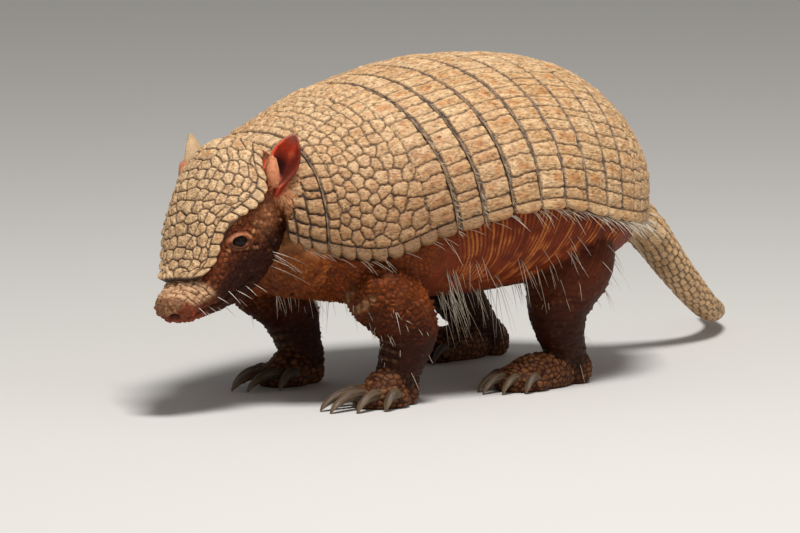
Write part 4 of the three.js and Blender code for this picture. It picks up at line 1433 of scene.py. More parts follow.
# %% Ears
inside, height, deep, rear_edge_shade = np.zeros((4, len(base)))
for name, side in EARS:
    root, tip, axis, hollow = ear_axes(name, side)
    mine = (ear > 0.02) & (np.linalg.norm(base - (root + tip) / 2, axis=1) < 34)
    offset = base - root
    lift = offset @ axis
    height = np.where(mine, lift / np.linalg.norm(tip - root), height)
    off_axis = np.linalg.norm(offset - axis * lift[:, None], axis=1)
    deep = np.where(mine, ramp(7.4, 4.4, off_axis), deep)
    rearward = np.cross(axis, hollow) * side
    rear_edge_shade = np.where(mine, ramp(3, 6, offset @ rearward), rear_edge_shade)
    inside = np.where(mine, ramp(-0.1, 0.35, normal @ hollow), inside)
grit = noise(base, 1.1, 95)
relief += ear * 0.2 * grit * (1 - 0.5 * inside)
paint(SKIN_EAR_PALE, ear * (1 - inside) * 0.75)
paint("#8F4A36", ear * (1 - inside) * 0.5 * ramp(0.1, -0.5, grit))
paint("#C9442A", ear * inside * 0.9)
paint("#E06A44", ear * inside * 0.6 * ramp(0, 0.7, noise(base, 4, 94)))
paint("#8C6E62", ear * ramp(0.72, 0.98, height) * 0.7)
# painted shade: deep in the opening, towards the canal, the inside is nearly black
canal = ear * inside * deep * ramp(0.7, 0.4, height)
paint("#1C0605", 0.95 * canal)
# painted shade along the rear edge, where the ear meets the skin
paint("#52221A", 0.8 * ear * rear_edge_shade)
far_ear = ear * (out < 0)
paint("#C6A886", 0.9 * far_ear * ramp(0.12, 0.3, height))
paint("#A8482E", 0.5 * far_ear * ramp(0.1, 0.6, noise(base, 2.4, 93)) * (height < 0.5))
for lobe_line, thick in ear_lobes.values():
    close = np.linalg.norm(base[:, None] - lobe_line[None, ::4], axis=2)
    depth = (close - thick[None, ::4]).min(1)
    lobe = ear * ramp(1.3, 0.4, depth)
    paint("#DE9670", 0.9 * lobe)
    paint("#8F4A36", 0.45 * lobe * ramp(0.1, -0.5, grit))
print("points inside the ears:", int((ear * inside > 0.5).sum()))

# %% [markdown]
# ## Blood, shade and the finished surface
# Blood shows through thin skin, so the sides and legs are redder than the neck; they are also
# darkened, the legs most, as painted shade under the shell. The upper neck is brightened as painted
# light. Low parts are darker too, as painted shade that deepens towards the floor. The relief is
# then pushed out along the surface, except at the soles, which stay flat on the floor.

# %% Blood, shade and the finished surface
tint = tint * (1 + 0.12 * noise(base, 2.3, 96) + 0.08 * noise(base, 11, 97))[:, None]
# body and leg factors: partly the red of blood, partly painted shade; the neck factor above 1 is
# painted light on the upper neck
BODY_BLOOD_AND_SHADE, NECK_PAINTED_LIGHT = np.array([0.76, 0.6, 0.4]), np.array([1.9, 1.8, 1.55])
LEG_BLOOD_AND_SHADE = np.array([0.55, 0.36, 0.24])
nape = ramp(62, 86, z)[:, None]
shoulder = (ramp(42, 66, z) * fore)[:, None]
tint *= (trunk[:, None] * BODY_BLOOD_AND_SHADE + neck[:, None] * mix(BODY_BLOOD_AND_SHADE, NECK_PAINTED_LIGHT, nape)
         + head[:, None] * [0.98, 0.8, 0.62] + ear[:, None] * [1, 0.98, 0.9]
         + leg[:, None] * mix(LEG_BLOOD_AND_SHADE, 0.8 * BODY_BLOOD_AND_SHADE, shoulder)
         + foot[:, None] * [0.8, 0.62, 0.44])
# painted shade: low parts are darkened, down to about a third of their colour near the floor
tint *= mix(0.36, 1.0, np.clip(ramp(32, 68, z) + head + ear + 0.5 * foot, 0, 1))[:, None]

sole = ramp(1.4, 0.3, base[:, 2])
final = base + normal * (relief * (1 - sole))[:, None]
final[:, 2] = np.maximum(final[:, 2], 0)
print("relief from", round(relief.min(), 2), "to", round(relief.max(), 2), "mm")

# %% [markdown]
# ## Fewer faces where nothing shows
# The skin has about 750,000 points now, many of them under the plates. Collapsing edges keeps them
# where the surface bends and drops the rest. The head keeps most of its own. A collapse can fold
# two faces onto each other, and such pairs are taken out.

# %% Fewer faces
SKIN_TRIANGLES, LEVELS = 330000, 4


def decimated(mesh, target, keep):
    """Collapses a mesh to a number of triangles; keep is 1 where it is to stay dense."""
    made = in_scene("dense", mesh)
    group = made.vertex_groups.new(name="free")
    for level in range(LEVELS + 1):
        members = np.nonzero(np.round((1 - keep) * LEVELS) == level)[0]
        group.add(members.tolist(), 0.1 + 0.9 * level / LEVELS, "REPLACE")
    shrink = made.modifiers.new("shrink", "DECIMATE")
    shrink.ratio = target / len(triangles_of(mesh))
    shrink.vertex_group = "free"
    shrink.vertex_group_factor = 1.0
    smaller = bpy.data.meshes.new_from_object(
        made.evaluated_get(bpy.context.evaluated_depsgraph_get()))
    bpy.data.objects.remove(made)
    return smaller


def drop_doubled(mesh):
    """Takes out pairs of faces that a collapse has folded onto each other."""
    sculpt = bmesh.new()
    sculpt.from_mesh(mesh)
    seen, doubled = {}, set()
    for face in sculpt.faces:
        other = seen.setdefault(frozenset(v.index for v in face.verts), face)
        if other is not face:
            doubled |= {other, face}
    bmesh.ops.delete(sculpt, geom=list(doubled), context="FACES")
    sculpt.to_mesh(mesh)
    sculpt.free()
    return len(doubled)


write_all(skin_mesh.vertices, "co", to_frame(final))
tint_layer(skin_mesh, np.clip(tint, 0, 1))
wet = np.clip(lid_tone + nostril + 0.4 * pad, 0, 1)
write_all(skin_mesh.attributes.new("wet", "FLOAT", "POINT").data, "value", wet)
hidden = trunk * ramp(2, 8, z - rim_z)
under_cap = head * (along < 86) * ramp(0.22, 0.1, jaw_depth)
keep = np.clip(0.45 + 0.55 * head + 0.3 * ear + 0.25 * foot + 0.4 * pleat_zone, 0, 1)
keep = keep * (1 - hidden) * (1 - under_cap)
skin_mesh = decimated(skin_mesh, SKIN_TRIANGLES, keep)
print("doubled faces taken out:", drop_doubled(skin_mesh))

# %% [markdown]
# ## A map for the skin
# Baking colours needs a flat map of the skin. Blender cuts the surface by the directions of its
# faces. Pebbles and folds would cut it to shreds, so a smoothed copy is unwrapped instead and its
# map is brought back.

# %% Unwrap and finish the skin
def unwrapped(mesh):
    """Unwraps a smoothed copy by its faces' directions, and brings the map back."""
    calm = softened(mesh_points(mesh), mesh_edges(mesh), 12)
    copy = mesh.copy()
    write_all(copy.vertices, "co", to_frame(calm))
    copy.update()
    holder = in_scene("unwrap", copy)
    bpy.context.view_layer.objects.active = holder
    holder.select_set(True)
    bpy.ops.object.mode_set(mode="EDIT")
    bpy.ops.mesh.select_all(action="SELECT")
    bpy.ops.uv.smart_project(angle_limit=math.radians(66), island_margin=0.002)
    bpy.ops.object.mode_set(mode="OBJECT")
    uv = read_all(copy.uv_layers.active.data, "uv", 2)
    bpy.data.objects.remove(holder)
    write_all(mesh.uv_layers.new(name="OFBake").data, "uv", uv)


unwrapped(skin_mesh)
write_all(skin_mesh.polygons, "use_smooth", np.ones(len(skin_mesh.polygons)), bool)
skin = in_scene("skin", skin_mesh)
print("skin:", len(triangles_of(skin_mesh)), "triangles")

# %% [markdown]
# ## Leather
# Living skin of a few millimetres is neither glossy nor quite dull: roughness about 0.55, with an
# index of refraction of 1.42. The network adds pores and fine creases below the size of the faces.

# %% Material: leather
leather_skin, tree = new_material("leathery_living_skin")
place_node = add_node(tree, "TexCoord").outputs["Object"]
tint_node = add_node(tree, "Attribute", attribute_name="tint").outputs["Color"]
wet_node = add_node(tree, "Attribute", attribute_name="wet").outputs["Fac"]
pores = add_node(tree, "TexNoise", {
    "Vector": place_node, "Scale": 1000 / 0.8, "Detail": 4.0, "Roughness": 0.65})
creases = add_node(tree, "TexVoronoi", {
    "Vector": place_node, "Scale": 1000 / 1.5}, feature="DISTANCE_TO_EDGE")
# painted shade: darker in the fine creases
crease_dark = add_node(tree, "MapRange", {
    "Value": creases, "From Min": 0.0, "From Max": 0.16, "To Min": 0.78, "To Max": 1.0})
pore_shade = add_node(tree, "MapRange", {
    "Value": pores, "From Min": 0.3, "From Max": 0.7, "To Min": 0.8, "To Max": 1.18})
shade = add_node(tree, "Math", {0: crease_dark, 1: pore_shade}, operation="MULTIPLY")
shaded = add_node(tree, "VectorMath", {0: tint_node, "Scale": shade}, operation="SCALE")
grain = add_node(tree, "Math", {0: pores, 1: crease_dark}, operation="MULTIPLY")
bump = add_node(tree, "Bump", {"Height": grain, "Strength": 0.5, "Distance": 0.0004})
rough = add_node(tree, "MapRange", {"Value": wet_node, "To Min": 0.56, "To Max": 0.34})
surface = add_node(tree, "BsdfPrincipled", {
    "Base Color": shaded, "Roughness": rough, "IOR": 1.42, "Specular IOR Level": 0.18,
    "Normal": bump})
add_node(tree, "OutputMaterial", {"Surface": surface})
skin_mesh.materials.clear()
skin_mesh.materials.append(leather_skin)
print(leather_skin.name, "has", len(tree.nodes), "nodes")
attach(skin, "root")
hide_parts("head", "neck", "trunk", "ear_left", "ear_right",
            *[f"leg_{name}" for name in LEGS], *[f"foot_{name}" for name in LEGS])

# %% [markdown]
# ## Eyes
# The ball is nearly black: a wide pupil in a dark brown iris under a clear wet cornea. A thin film
# of tears makes it the glossiest thing on the animal, with an index of refraction of 1.38.

# %% Eyes
eye_material, tree = new_material("wet_cornea_over_dark_iris")
ball_tint = add_node(tree, "Attribute", attribute_name="tint").outputs["Color"]
ball_place = add_node(tree, "TexCoord").outputs["Object"]
fibre = add_node(tree, "TexNoise", {"Vector": ball_place, "Scale": 1000 / 0.5, "Detail": 3.0})
fibre_shade = add_node(tree, "MapRange", {
    "Value": fibre, "From Min": 0.3, "From Max": 0.7, "To Min": 0.7, "To Max": 1.3})
ball_colour = add_node(tree, "VectorMath", {0: ball_tint, "Scale": fibre_shade}, operation="SCALE")
ball_surface = add_node(tree, "BsdfPrincipled", {
    "Base Color": ball_colour, "Roughness": 0.06, "IOR": 1.38, "Specular IOR Level": 0.3})
add_node(tree, "OutputMaterial", {"Surface": ball_surface})


def tube_mesh(name, rings, tint, material):
    """A closed tube of rings with an OFBake map that runs round and along it."""
    rows, columns = rings.shape[:2]
    around_step = np.roll(rings, -1, axis=1) - rings
    facing = np.cross(around_step[:-1], rings[1:] - rings[:-1])
    if np.sum(facing * (rings - rings.mean(axis=1, keepdims=True))[:-1]) < 0:
        rings, tint = rings[:, ::-1], tint[:, ::-1]
    walls = tube_faces(rows, columns)
    u = (np.arange(len(walls)) % columns) / columns
    v = (np.arange(len(walls)) // columns) / (rows - 1) * 0.9
    du, dv = 1 / columns, 0.9 / (rows - 1)
    wall_uv = np.stack([np.stack([u, v], -1), np.stack([u + du, v], -1),
                        np.stack([u + du, v + dv], -1), np.stack([u, v + dv], -1)], 1)
    faces, uv = [walls], [wall_uv.reshape(-1, 2) * 0.996 + 0.002]
    turn = np.linspace(0, 2 * math.pi, columns, endpoint=False)
    disc = np.stack([np.cos(turn), np.sin(turn)], -1) * 0.045
    for loop, middle_u in ((np.arange(columns)[::-1], 0.1),
                           ((rows - 1) * columns + np.arange(columns), 0.3)):
        faces.append(loop[None, :])
        uv.append(disc + [middle_u, 0.95])
    made = mesh_object(name, rings.reshape(-1, 3), faces, tint.reshape(-1, 3), np.concatenate(uv))
    made.data.materials.append(material)
    return made


for (centre, outward, forward, upward), name in zip(eye_frames, ("eye_left", "eye_right")):
    polar = np.linspace(0.02, math.pi - 0.02, 64)[:, None]
    turn = around(96)[None, :]
    bulge = 1 + 0.05 * ramp(0.75, 0.35, polar)
    ring_points = (outward * (np.cos(polar) * bulge)[..., None]
                   + forward * (np.sin(polar) * np.cos(turn))[..., None]
                   + upward * (np.sin(polar) * np.sin(turn))[..., None]) * EYE_RADIUS
    from_front = polar + 0 * turn
    tone = lay("#0A0706", "#1C0F09", ramp(0.36, 0.42, from_front))
    tone = lay(tone, "#120A08", ramp(0.74, 0.82, from_front))
    tone = lay(tone, "#5A463C", 0.8 * ramp(0.95, 1.1, from_front))
    ball = tube_mesh(name + "_ball", centre + ring_points, tone, eye_material)
    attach(ball, "root")
    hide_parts(name)
print("eyes set", EYE_RADIUS, "mm in radius")

# %% [markdown]
# ## Claw horn
# A digging claw is a thick curved blade of horn: nearly parallel for most of its length, then blunt
# where the soil wears it. Growth lines run along it. Horn has an index of refraction of 1.55, and
# soil and scratches keep its roughness near 0.6.

# %% Material: claw horn
claw_material, tree = new_material("worn_claw_horn")
claw_place = add_node(tree, "TexCoord").outputs["Object"]
claw_tint = add_node(tree, "Attribute", attribute_name="tint").outputs["Color"]
claw_grain = add_node(tree, "TexNoise", {
    "Vector": claw_place, "Scale": 1000 / 0.9, "Detail": 4.0, "Roughness": 0.6})
claw_shade = add_node(tree, "MapRange", {
    "Value": claw_grain, "From Min": 0.3, "From Max": 0.7, "To Min": 0.78, "To Max": 1.2})
claw_colour = add_node(tree, "VectorMath", {0: claw_tint, "Scale": claw_shade}, operation="SCALE")
claw_bump = add_node(tree, "Bump", {"Height": claw_grain, "Strength": 0.3, "Distance": 0.0003})
claw_surface = add_node(tree, "BsdfPrincipled", {
    "Base Color": claw_colour, "Roughness": 0.6, "IOR": 1.55, "Normal": claw_bump})
add_node(tree, "OutputMaterial", {"Surface": claw_surface})
print(claw_material.name, "has", len(tree.nodes), "nodes")

# %% [markdown]
# ## Claws
# Each claw is a closed tube whose rings are wider than high. It rises a little from the toe and
# comes down to the floor. The five claws of a foot are joined into one piece.

# %% Claws
def joined(name, pieces, material):
    """Joins closed tubes into one piece, each with its own strip of the OFBake map."""
    made = []
    for k, (rings, tint) in enumerate(pieces):
        part = tube_mesh(f"{name}_{k}", rings, tint, material)
        corners_uv = part.data.uv_layers["OFBake"].data
        uv = read_all(corners_uv, "uv", 2)
        uv[:, 0] = (uv[:, 0] + k) / len(pieces)
        write_all(corners_uv, "uv", uv)
        made.append(part)
    bpy.ops.object.select_all(action="DESELECT")
    for part in made:
        part.select_set(True)
    bpy.context.view_layer.objects.active = made[0]
    bpy.ops.object.join()
    made[0].name = name
    made[0].data.name = name
    return made[0]


for name, limb in LEGS.items():
    kind = FEET[limb["kind"]]
    heading, mirror, at, _ = foot_frame(limb)
    blades = []
    for number, (out_, forward_, size, long, turn_out) in enumerate(kind["toes"]):
        aim_toe = heading + mirror * math.radians(turn_out)
        ahead = np.array([math.cos(aim_toe), math.sin(aim_toe), 0])
        sideways = np.array([-math.sin(aim_toe), math.cos(aim_toe), 0])
        toe = np.array([*at(forward_, out_), 0])
        v = np.linspace(0, 1, 44)[:, None]
        turn = around(28)[None, :]
        reach = size * 0.3 + (size * 0.95 + long) * v
        blunt = 1 - np.maximum(v - 0.1, 0) ** 5 * 1.64
        thick = kind["claw"] * 1.16 * np.sqrt(np.maximum(blunt, 0.03))
        low = mix(1.0, 0.62, v)
        level = mix(6.9, 0.0, v**1.7) + thick * 0.95 * v + 1.9 * np.sin(math.pi * v)
        keel = 1 + 0.12 * np.cos(turn) ** 2
        horn_place = np.broadcast_arrays(v * 9, np.cos(turn) * 3, np.sin(turn) * 3 + number)
        wear = 0.10 * noise(np.stack(horn_place, -1), 1.0, 120 + number)
        across = np.sin(turn) * thick * 0.88 * (1 + wear)
        rise = np.cos(turn) * thick * keel * low * (1 + wear)
        across = across * (1 - 0.25 * (np.cos(turn) < 0) * np.abs(np.cos(turn)))
        rings = (toe + ahead * (reach + 0 * turn)[..., None] + sideways * across[..., None]
                 + np.array([0, 0, 1.0]) * (level + rise)[..., None])
        rings[..., 2] = np.maximum(rings[..., 2], 0.05)
        line_place = np.broadcast_arrays(v * 2.2, np.cos(turn) * 5, np.sin(turn) * 5 + 7 * number)
        lines = noise(np.stack(line_place, -1), 1.0, 130)
        tone = lay("#57422C", "#74593C", ramp(-0.2, 0.7, lines))
        far = v + 0 * turn
        tone = lay(tone, "#3A2A20", 0.6 * ramp(0, -0.8, lines) + 0.5 * ramp(0.2, 0, far))
        tone = lay(tone, "#8A7050", 0.4 * ramp(0.75, 1, far))
        blades.append((rings, tone * 0.75))
    claws = joined(f"claws_{name}", blades, claw_material)
    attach(claws, "root")
    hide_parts(*[f"claw_{name}_{n}" for n in range(1, 6)])
    print(claws.name, len(claws.data.polygons), "faces")

# %% [markdown]
# ## Tail
# The tail is a tapering rod in rings of horny scales. The first rings are wide hoops that overlap
# like a telescope, and the rest are rows of small square scales down to a blunt tip.

# %% Tail
TAIL_PATH = [(0, 141, 91), (-2, 168, 78), (-10, 205, 47), (-27, 246, 21), (-56, 284, 11),
             (-88, 308, 10)]
TAIL_ROOT_RADIUS, TAIL_TIP_RADIUS = 15.5, 4
fine_t = np.linspace(0, 1, 500)
fine_line = smooth_line(TAIL_PATH, fine_t)
run = lengths_along(fine_line)
TAIL_LENGTH = run[-1]
rows = int(TAIL_LENGTH / 0.75)
distance = np.linspace(0, TAIL_LENGTH + 3.6, rows)
tail_t = np.interp(distance, run, fine_t)
line = smooth_line(TAIL_PATH, tail_t)
tangent, side_way, other_way = carried_frames(smooth_line(TAIL_PATH, np.linspace(0, 1, rows)))
beyond = np.maximum(distance - TAIL_LENGTH, 0)
line = line + tangent * beyond[:, None]
radius = mix(TAIL_ROOT_RADIUS, TAIL_TIP_RADIUS, tail_t**0.8)
radius = radius * np.sqrt(np.maximum(1 - (beyond / 3.75) ** 2, 0.02))
hoops = np.array([0, 11, 22, 33, 44])
small = 44 + np.cumsum(6.2 * np.linspace(1, 0.72, 40))
edges_mm = np.concatenate([hoops, small[small < TAIL_LENGTH + 2], [TAIL_LENGTH + 8]])
ring_number = np.searchsorted(edges_mm, distance, side="right") - 1
ring_long = np.diff(edges_mm)[np.clip(ring_number, 0, len(edges_mm) - 2)]
in_ring = (distance - edges_mm[ring_number]) / ring_long
turn = around(112)
per_ring = np.round(2 * math.pi * radius / np.where(ring_number < 4, 6.5, 4.6)).astype(int)
per_ring = per_ring[np.searchsorted(distance, edges_mm[ring_number])]
place = rings_along(line, side_way, other_way, radius, turn)
bent = 0.3 * noise(place, 4, 140)
column = (turn[None] + math.pi) / (2 * math.pi) * per_ring[:, None]
column = column + 0.5 * (ring_number[:, None] % 2) + 0.06 * noise(place, 3, 141)
wide = 2 * math.pi * radius / per_ring
from_side = np.abs(column - np.round(column)) * wide[:, None]
from_end = np.minimum(in_ring, 1 - in_ring) * ring_long
edge = np.maximum(soft_least([from_side, np.abs(from_end[:, None] + bent)], 2.0), 0)
tone = draw(ring_number[:, None], np.round(column + 0.5), 142)
slope = np.where(ring_number < 4, 1.5, 0.7) * (in_ring - 0.5)
grain_t = noise(place * [1, 0.5, 1], 0.9, 143)
raised = np.sin(np.clip(edge, 0, 1) * math.pi / 2)
lift = 0.5 * raised - 0.3 + slope[:, None] + 0.14 * grain_t * raised + 0.2 * (tone - 0.5)
outward = unit(place - line[:, None])
rings = place + outward * lift[..., None] * np.minimum(radius / 6, 1)[:, None, None]
rings[..., 2] = np.maximum(rings[..., 2], 0.4)
tint_tail = lay(HORN_MID, HORN_LIGHT, 0.2 + 0.5 * tone + 0.3 * grain_t)
tint_tail = lay(tint_tail, HORN_RIM, 0.5 * ramp(-0.2, 0.6, noise(place, 9, 144)))
tint_tail = lay(tint_tail, "#7A5433", 0.6 * (1 - ramp(0.2, 1.1, edge)))
tint_tail = lay(tint_tail, SEAM, 0.9 * (1 - ramp(0.03, 0.4, edge)))
tail = tube_mesh("tail_scales", rings, tint_tail, shell_horn)
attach(tail, "root")
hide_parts("tail", *[f"tail_ring_{n}" for n in range(1, 5)])
print("tail", round(TAIL_LENGTH), "mm along its curve,", len(tail.data.polygons), "faces")

# %% [markdown]
# ## Bristles
# An armadillo is thinly haired. Stiff pale bristles stand in small tufts under the rim and behind
# the bands, and longer ones hang from the belly and thighs. Each is a thin tapered rod with three
# sides: real mesh that any tool can read. Each root has its own patch of the OFBake map.

# %% Bristle builder
bristle_material, tree = new_material("pale_keratin_bristle")
bristle_tint = add_node(tree, "Attribute", attribute_name="tint").outputs["Color"]
bristle_surface = add_node(tree, "BsdfPrincipled", {
    "Base Color": bristle_tint, "Roughness": 0.38, "IOR": 1.55})
add_node(tree, "OutputMaterial", {"Surface": bristle_surface})
luck = np.random.default_rng(6)
skin_normal = point_normals(final, corners)
PATCH_SIZE = 0.003


def bristles(name, roots, ways, lengths, thick_mm, sag, map_place, tones):
    """Thin rods from roots along ways; each sags towards the ground by a share of its length."""
    roots, lengths, map_place = (np.asarray(rows) for rows in (roots, lengths, map_place))
    count, rings, sides = len(roots), 6, 3
    ways = unit(np.asarray(ways))
    side_a = unit(np.cross(ways, [0.31, 0.2, 0.93]))
    side_b = np.cross(ways, side_a)
    t = np.linspace(0, 1, rings)[None, :, None]
    curl = luck.normal(0, 0.10, (count, 1, 1)) * side_a[:, None]
    path = (roots[:, None] + lengths[:, None, None] * (
        ways[:, None] * t + curl * t**2 + np.array([0, 0, -1.0]) * sag * t**2.2))
    path[..., 2] = np.maximum(path[..., 2], 0.5)
    radius = thick_mm * (1 - 0.82 * t**1.4)
    turn = np.arange(sides) * 2 * math.pi / sides
    rod = (path[:, :, None] + radius[..., None] * (
        side_a[:, None, None] * np.cos(turn)[None, None, :, None]
        + side_b[:, None, None] * np.sin(turn)[None, None, :, None]))
    size = rings * sides
    quads = tube_faces(rings, sides)
    caps = np.array([[2, 1, 0], [size - 3, size - 2, size - 1]])
    first = np.arange(count)[:, None, None] * size
    quads_all, caps_all = (quads[None] + first).reshape(-1, 4), (caps[None] + first).reshape(-1, 3)
    local = np.stack([np.tile(np.arange(sides) / sides, rings),
                      np.repeat(np.arange(rings) / rings, sides)], -1) * PATCH_SIZE
    uv_points = (map_place[:, None] * (1 - PATCH_SIZE) + local[None]).reshape(-1, 2)
    shade = 0.72 + 0.38 * np.linspace(0, 1, rings)[None, :, None, None]
    tint = np.clip(tones[:, None, None] * shade + np.zeros((1, 1, sides, 1)), 0, 1)
    made = mesh_object(name, rod.reshape(-1, 3), [quads_all, caps_all], tint.reshape(-1, 3),
                       uv_points[np.concatenate([quads_all.ravel(), caps_all.ravel()])])
    made.data.materials.append(bristle_material)
    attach(made, "root")
    print(name, count, "bristles,", 2 * len(quads_all) + len(caps_all), "triangles")


BRISTLE_WHITE, BRISTLE_STRAW = colour("#FFF4E4"), colour("#C6A860")
SKIN_MAP = np.stack([np.arctan2(final[:, 0], final[:, 2] - 80) / (2 * math.pi) + 0.5,
                     np.clip((final[:, 1] + 260) / 430, 0, 1)], -1)


def from_skin(chance, count):
    """Draws skin points with a given chance for each, and returns their numbers."""
    chance = np.maximum(chance, 0)
    return luck.choice(len(final), size=count, p=chance / chance.sum())


def on_shell(s, a):
    """One point of the vault and its normal."""
    s, a = np.array([s]), np.array([a])
    return shell_face(s, a)[0], shell_normal(s, a)[0]


def tones_for(count, straw):
    return mix(BRISTLE_WHITE, BRISTLE_STRAW, (luck.random(count) * straw * 2)[:, None])


print("bristles are", bristle_material.name)

# %% [markdown]
# ## Bristles from the skin
# Each group has a chance for every skin point, so that bristles stand where they do on the animal:
# along the edge of the belly, on flank, thighs, chest and legs. They grow in loose clumps, and lean
# back and down.

# %% Bristles from the skin
fx, fy, fz = final.T
side_sign = np.sign(fx)[:, None]
back_down = side_sign * [0.15, 0, 0] + [0, 0.35, -0.9]
body_air = np.clip(trunk + leg, 0, 1) * ramp(0, -3, fz - rim_z)
low_edge = body_air * ramp(82, 72, fz) * ramp(50, 60, fz) * ramp(-75, -55, fy) * ramp(20, 0, fy)
outer_side = ramp(0, 0.4, skin_normal[:, 0] * side_sign[:, 0])
groups = [
    ("bristles_belly_edge", low_edge * outer_side, 95, (14, 30), 0.9, 0.2, 0.3),
    ("bristles_flank", body_air * outer_side * ramp(-90, -60, fy) * ramp(92, 82, fz), 36, (6, 12),
     0.8, 0.15, 0.2),
    ("bristles_thigh", leg * ramp(10, 30, fy) * ramp(50, 62, fz) * ramp(88, 80, fz) * outer_side,
     56, (9, 18), 0.85, 0.15, 0.2),
    ("bristles_chest", leather * ramp(66, 58, fz) * ramp(0.2, -0.3, skin_normal[:, 2]),
     26, (6, 13), 0.85, 0.1, 0.1),
    ("bristles_underside", trunk * ramp(-60, -45, fy) * ramp(0, -0.5, skin_normal[:, 2]), 110,
     (7, 15), 0.6, 0.2, 0.3),
    ("bristles_legs", leg * ramp(20, 28, fz) * ramp(62, 52, fz), 60, (3, 6), 0.6, 0.1, 0.3),
]
in_clumps = 0.04 + ramp(0.15, 0.55, noise(final, 10, 150))
for name, chance, count, (short, long), lie, sag, straw in groups:
    pick = from_skin(chance * in_clumps, count)
    flow = back_down[pick] + luck.normal(0, 0.17, (count, 3))
    way = mix(skin_normal[pick], unit(flow), lie) + skin_normal[pick] * 0.12
    bristles(name, final[pick] - skin_normal[pick] * 0.4, way, luck.uniform(short, long, count),
             0.2, sag, SKIN_MAP[pick], tones_for(count, straw))

# %% [markdown]
# ## Tufts under the rim
# All along the rim, one to five bristles at a time come out from below and point back and down.
# They are densest under the last bands and the hip shield.

# %% Tufts under the rim
roots, ways, lengths, maps = [], [], [], []
for side in (1, -1):
    s_place = 0.3
    while s_place < 6.75:
        s_place += luck.uniform(0.10, 0.24) * (0.7 if s_place > 3.6 else 1.5)
        rear = ramp(3.2, 4.6, s_place)
        edge_point, edge_normal = on_shell(s_place, float(side))
        for _ in range(int(luck.integers(1, 4) + 2 * rear)):
            roots.append(edge_point - edge_normal * luck.uniform(2, 3.6)
                         + [0, luck.normal(0, 1), luck.uniform(-0.4, 1.2)])
            ways.append([0.24 * side + luck.normal(0, 0.16), 0.74 + luck.normal(0, 0.16),
                         -0.52 + luck.normal(0, 0.2)])
            lengths.append(luck.uniform(7, 14) + 8 * rear * luck.random() ** 2)
            maps.append([0.5 + side * 0.3, s_place / 7])
bristles("bristles_rim", roots, ways, lengths, 0.26, 0.12, maps, tones_for(len(roots), 0.2))

# %% [markdown]
# ## Hairs between the bands
# Short hairs grow from the strips of skin between the bands and lie back over the plates. They are
# thickest low down, where the bands open.

# %% Hairs between the bands
roots, ways, maps = [], [], []
for band in range(BAND_COUNT + 1):
    s_place = FIRST_BAND + band * pitch + 0.02
    for side in (1, -1):
        for _ in range(34 if band < 4 else 16):
            share = 1 - luck.random() ** 1.5 * 0.75
            a_place = float(arc_to_a(s_place, share)) * side
            point, out_way = on_shell(s_place, a_place)
            down_way = -unit(on_shell(s_place, a_place * 0.98)[0] - point)
            roots.append(point - out_way * 1.2)
            ways.append(down_way * luck.uniform(0.2, 1.3) + [0, 0.6, 0] + out_way * 0.42)
            maps.append([0.5 + side * 0.2, s_place / 7])
lengths = luck.uniform(2.5, 5.5, len(roots))
bristles("bristles_bands", roots, ways, lengths, 0.16, 0.0, maps, tones_for(len(roots), 0.5))

# %% [markdown]
# ## Whiskers
# A few stiff hairs stand on the lips and chin, longer ones behind the corner of the jaw.

# %% Whiskers
roots, ways, lengths, maps = [], [], [], []
spots = [(94, -27, 11), (88, -30, 13), (82, -33, 15), (90, -35, 10), (78, -38, 15),
         (100, -22, 10.5), (97, -31, 9), (72, -42, 16), (66, -48, 15), (48, -52, 17),
         (46, -49, 19), (50, -55, 14), (44, -54, 16), (47, -46, 21), (84, -42, 6), (74, -50, 7)]
for side in (1, -1):
    for k, (a_, u_, o_) in enumerate(spots):
        root = head_to_body(a_, u_, o_ * side)
        close = ((final - root) ** 2).sum(1).argmin()
        rear = a_ <= 50
        way = (HEAD_FORWARD * (-0.15 if rear else 0.05) - HEAD_UP * 0.75 + HEAD_LEFT * side * 0.5
               + skin_normal[close] * 0.35)
        if rear:
            way = way + [0.25 * side, 0.35, -0.15]
        roots.append(final[close] - skin_normal[close] * 0.4)
        ways.append(way + luck.normal(0, 0.2 if rear else 0.1, 3))
        lengths.append(luck.uniform(15, 25) if rear else luck.uniform(6, 11))
        maps.append(SKIN_MAP[close])
bristles("whiskers", roots, ways, lengths, 0.24, 0.1, maps, tones_for(len(roots), 0.1))

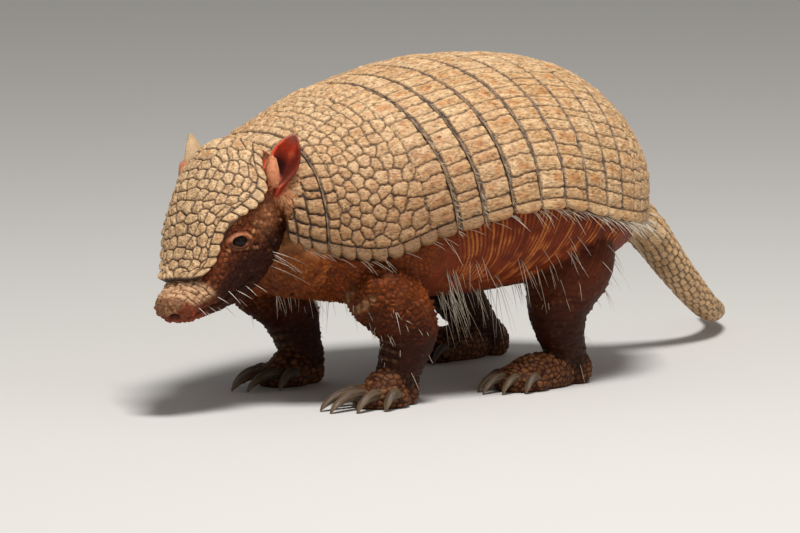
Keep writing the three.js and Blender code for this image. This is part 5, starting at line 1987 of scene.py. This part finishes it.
# %% [markdown]
# ## Floor, light and camera
# The floor is one large matte sheet, so that it has no edge behind the model. A soft key lamp
# stands high and a little in front, as strong sun through cloud would, and a wide weak lamp opens
# the shadows. The camera is far off with a long lens, which keeps the perspective flat.

# %% Floor, light and camera
floor_material, tree = new_material("matte_paper_floor")
floor_surface = add_node(tree, "BsdfPrincipled", {
    "Base Color": (*colour("#D4D0CA"), 1), "Roughness": 0.9})
add_node(tree, "OutputMaterial", {"Surface": floor_surface})
bpy.ops.mesh.primitive_plane_add(size=160, location=(0, 0, 0))
floor = bpy.context.object
floor.name = "floor"
floor.data.materials.append(floor_material)

AZIMUTH, ELEVATION = math.radians(47), math.radians(7)
CAMERA_AWAY, LENS_MM = 6.0, 472.5
back = Vector((math.sin(AZIMUTH) * math.cos(ELEVATION), -math.cos(AZIMUTH) * math.cos(ELEVATION),
               math.sin(ELEVATION)))
right = Vector((math.cos(AZIMUTH), math.sin(AZIMUTH), 0))
up = back.cross(right)
aim = Vector((0, FRAME_SHIFT[1] / 1000, 0.120)) - 0.0174 * right - 0.0538 * up
lens = bpy.data.cameras.new("camera")
camera = in_scene("camera", lens)
camera.location = aim + CAMERA_AWAY * back
camera.rotation_euler = back.to_track_quat("Z", "Y").to_euler()
lens.sensor_width = 36
lens.lens = LENS_MM
bpy.context.scene.camera = camera
middle = Vector((0, 0, 0.1))
above = Vector((0, 0, 1))


def lamp(name, size_m, power_w, place):
    light = bpy.data.lights.new(name, "AREA")
    light.size = size_m
    light.energy = power_w
    made = in_scene(name, light)
    made.location = place
    made.rotation_euler = (place - middle).to_track_quat("Z", "Y").to_euler()


lamp("key", 0.6, 52, middle + 0.85 * back + 0.15 * right + 1.9 * above)
lamp("fill", 1.6, 5, middle + 1.6 * back + 1.5 * right + 0.5 * above)
world = bpy.data.worlds.new("studio")
world.use_nodes = True
sky = world.node_tree.nodes["Background"].inputs
sky["Color"].default_value = (1, 1, 1, 1)
sky["Strength"].default_value = 0.24
bpy.context.scene.world = world
bpy.context.scene.view_settings.view_transform = "Standard"
print("camera", CAMERA_AWAY, "m away with a lens of", LENS_MM, "mm")
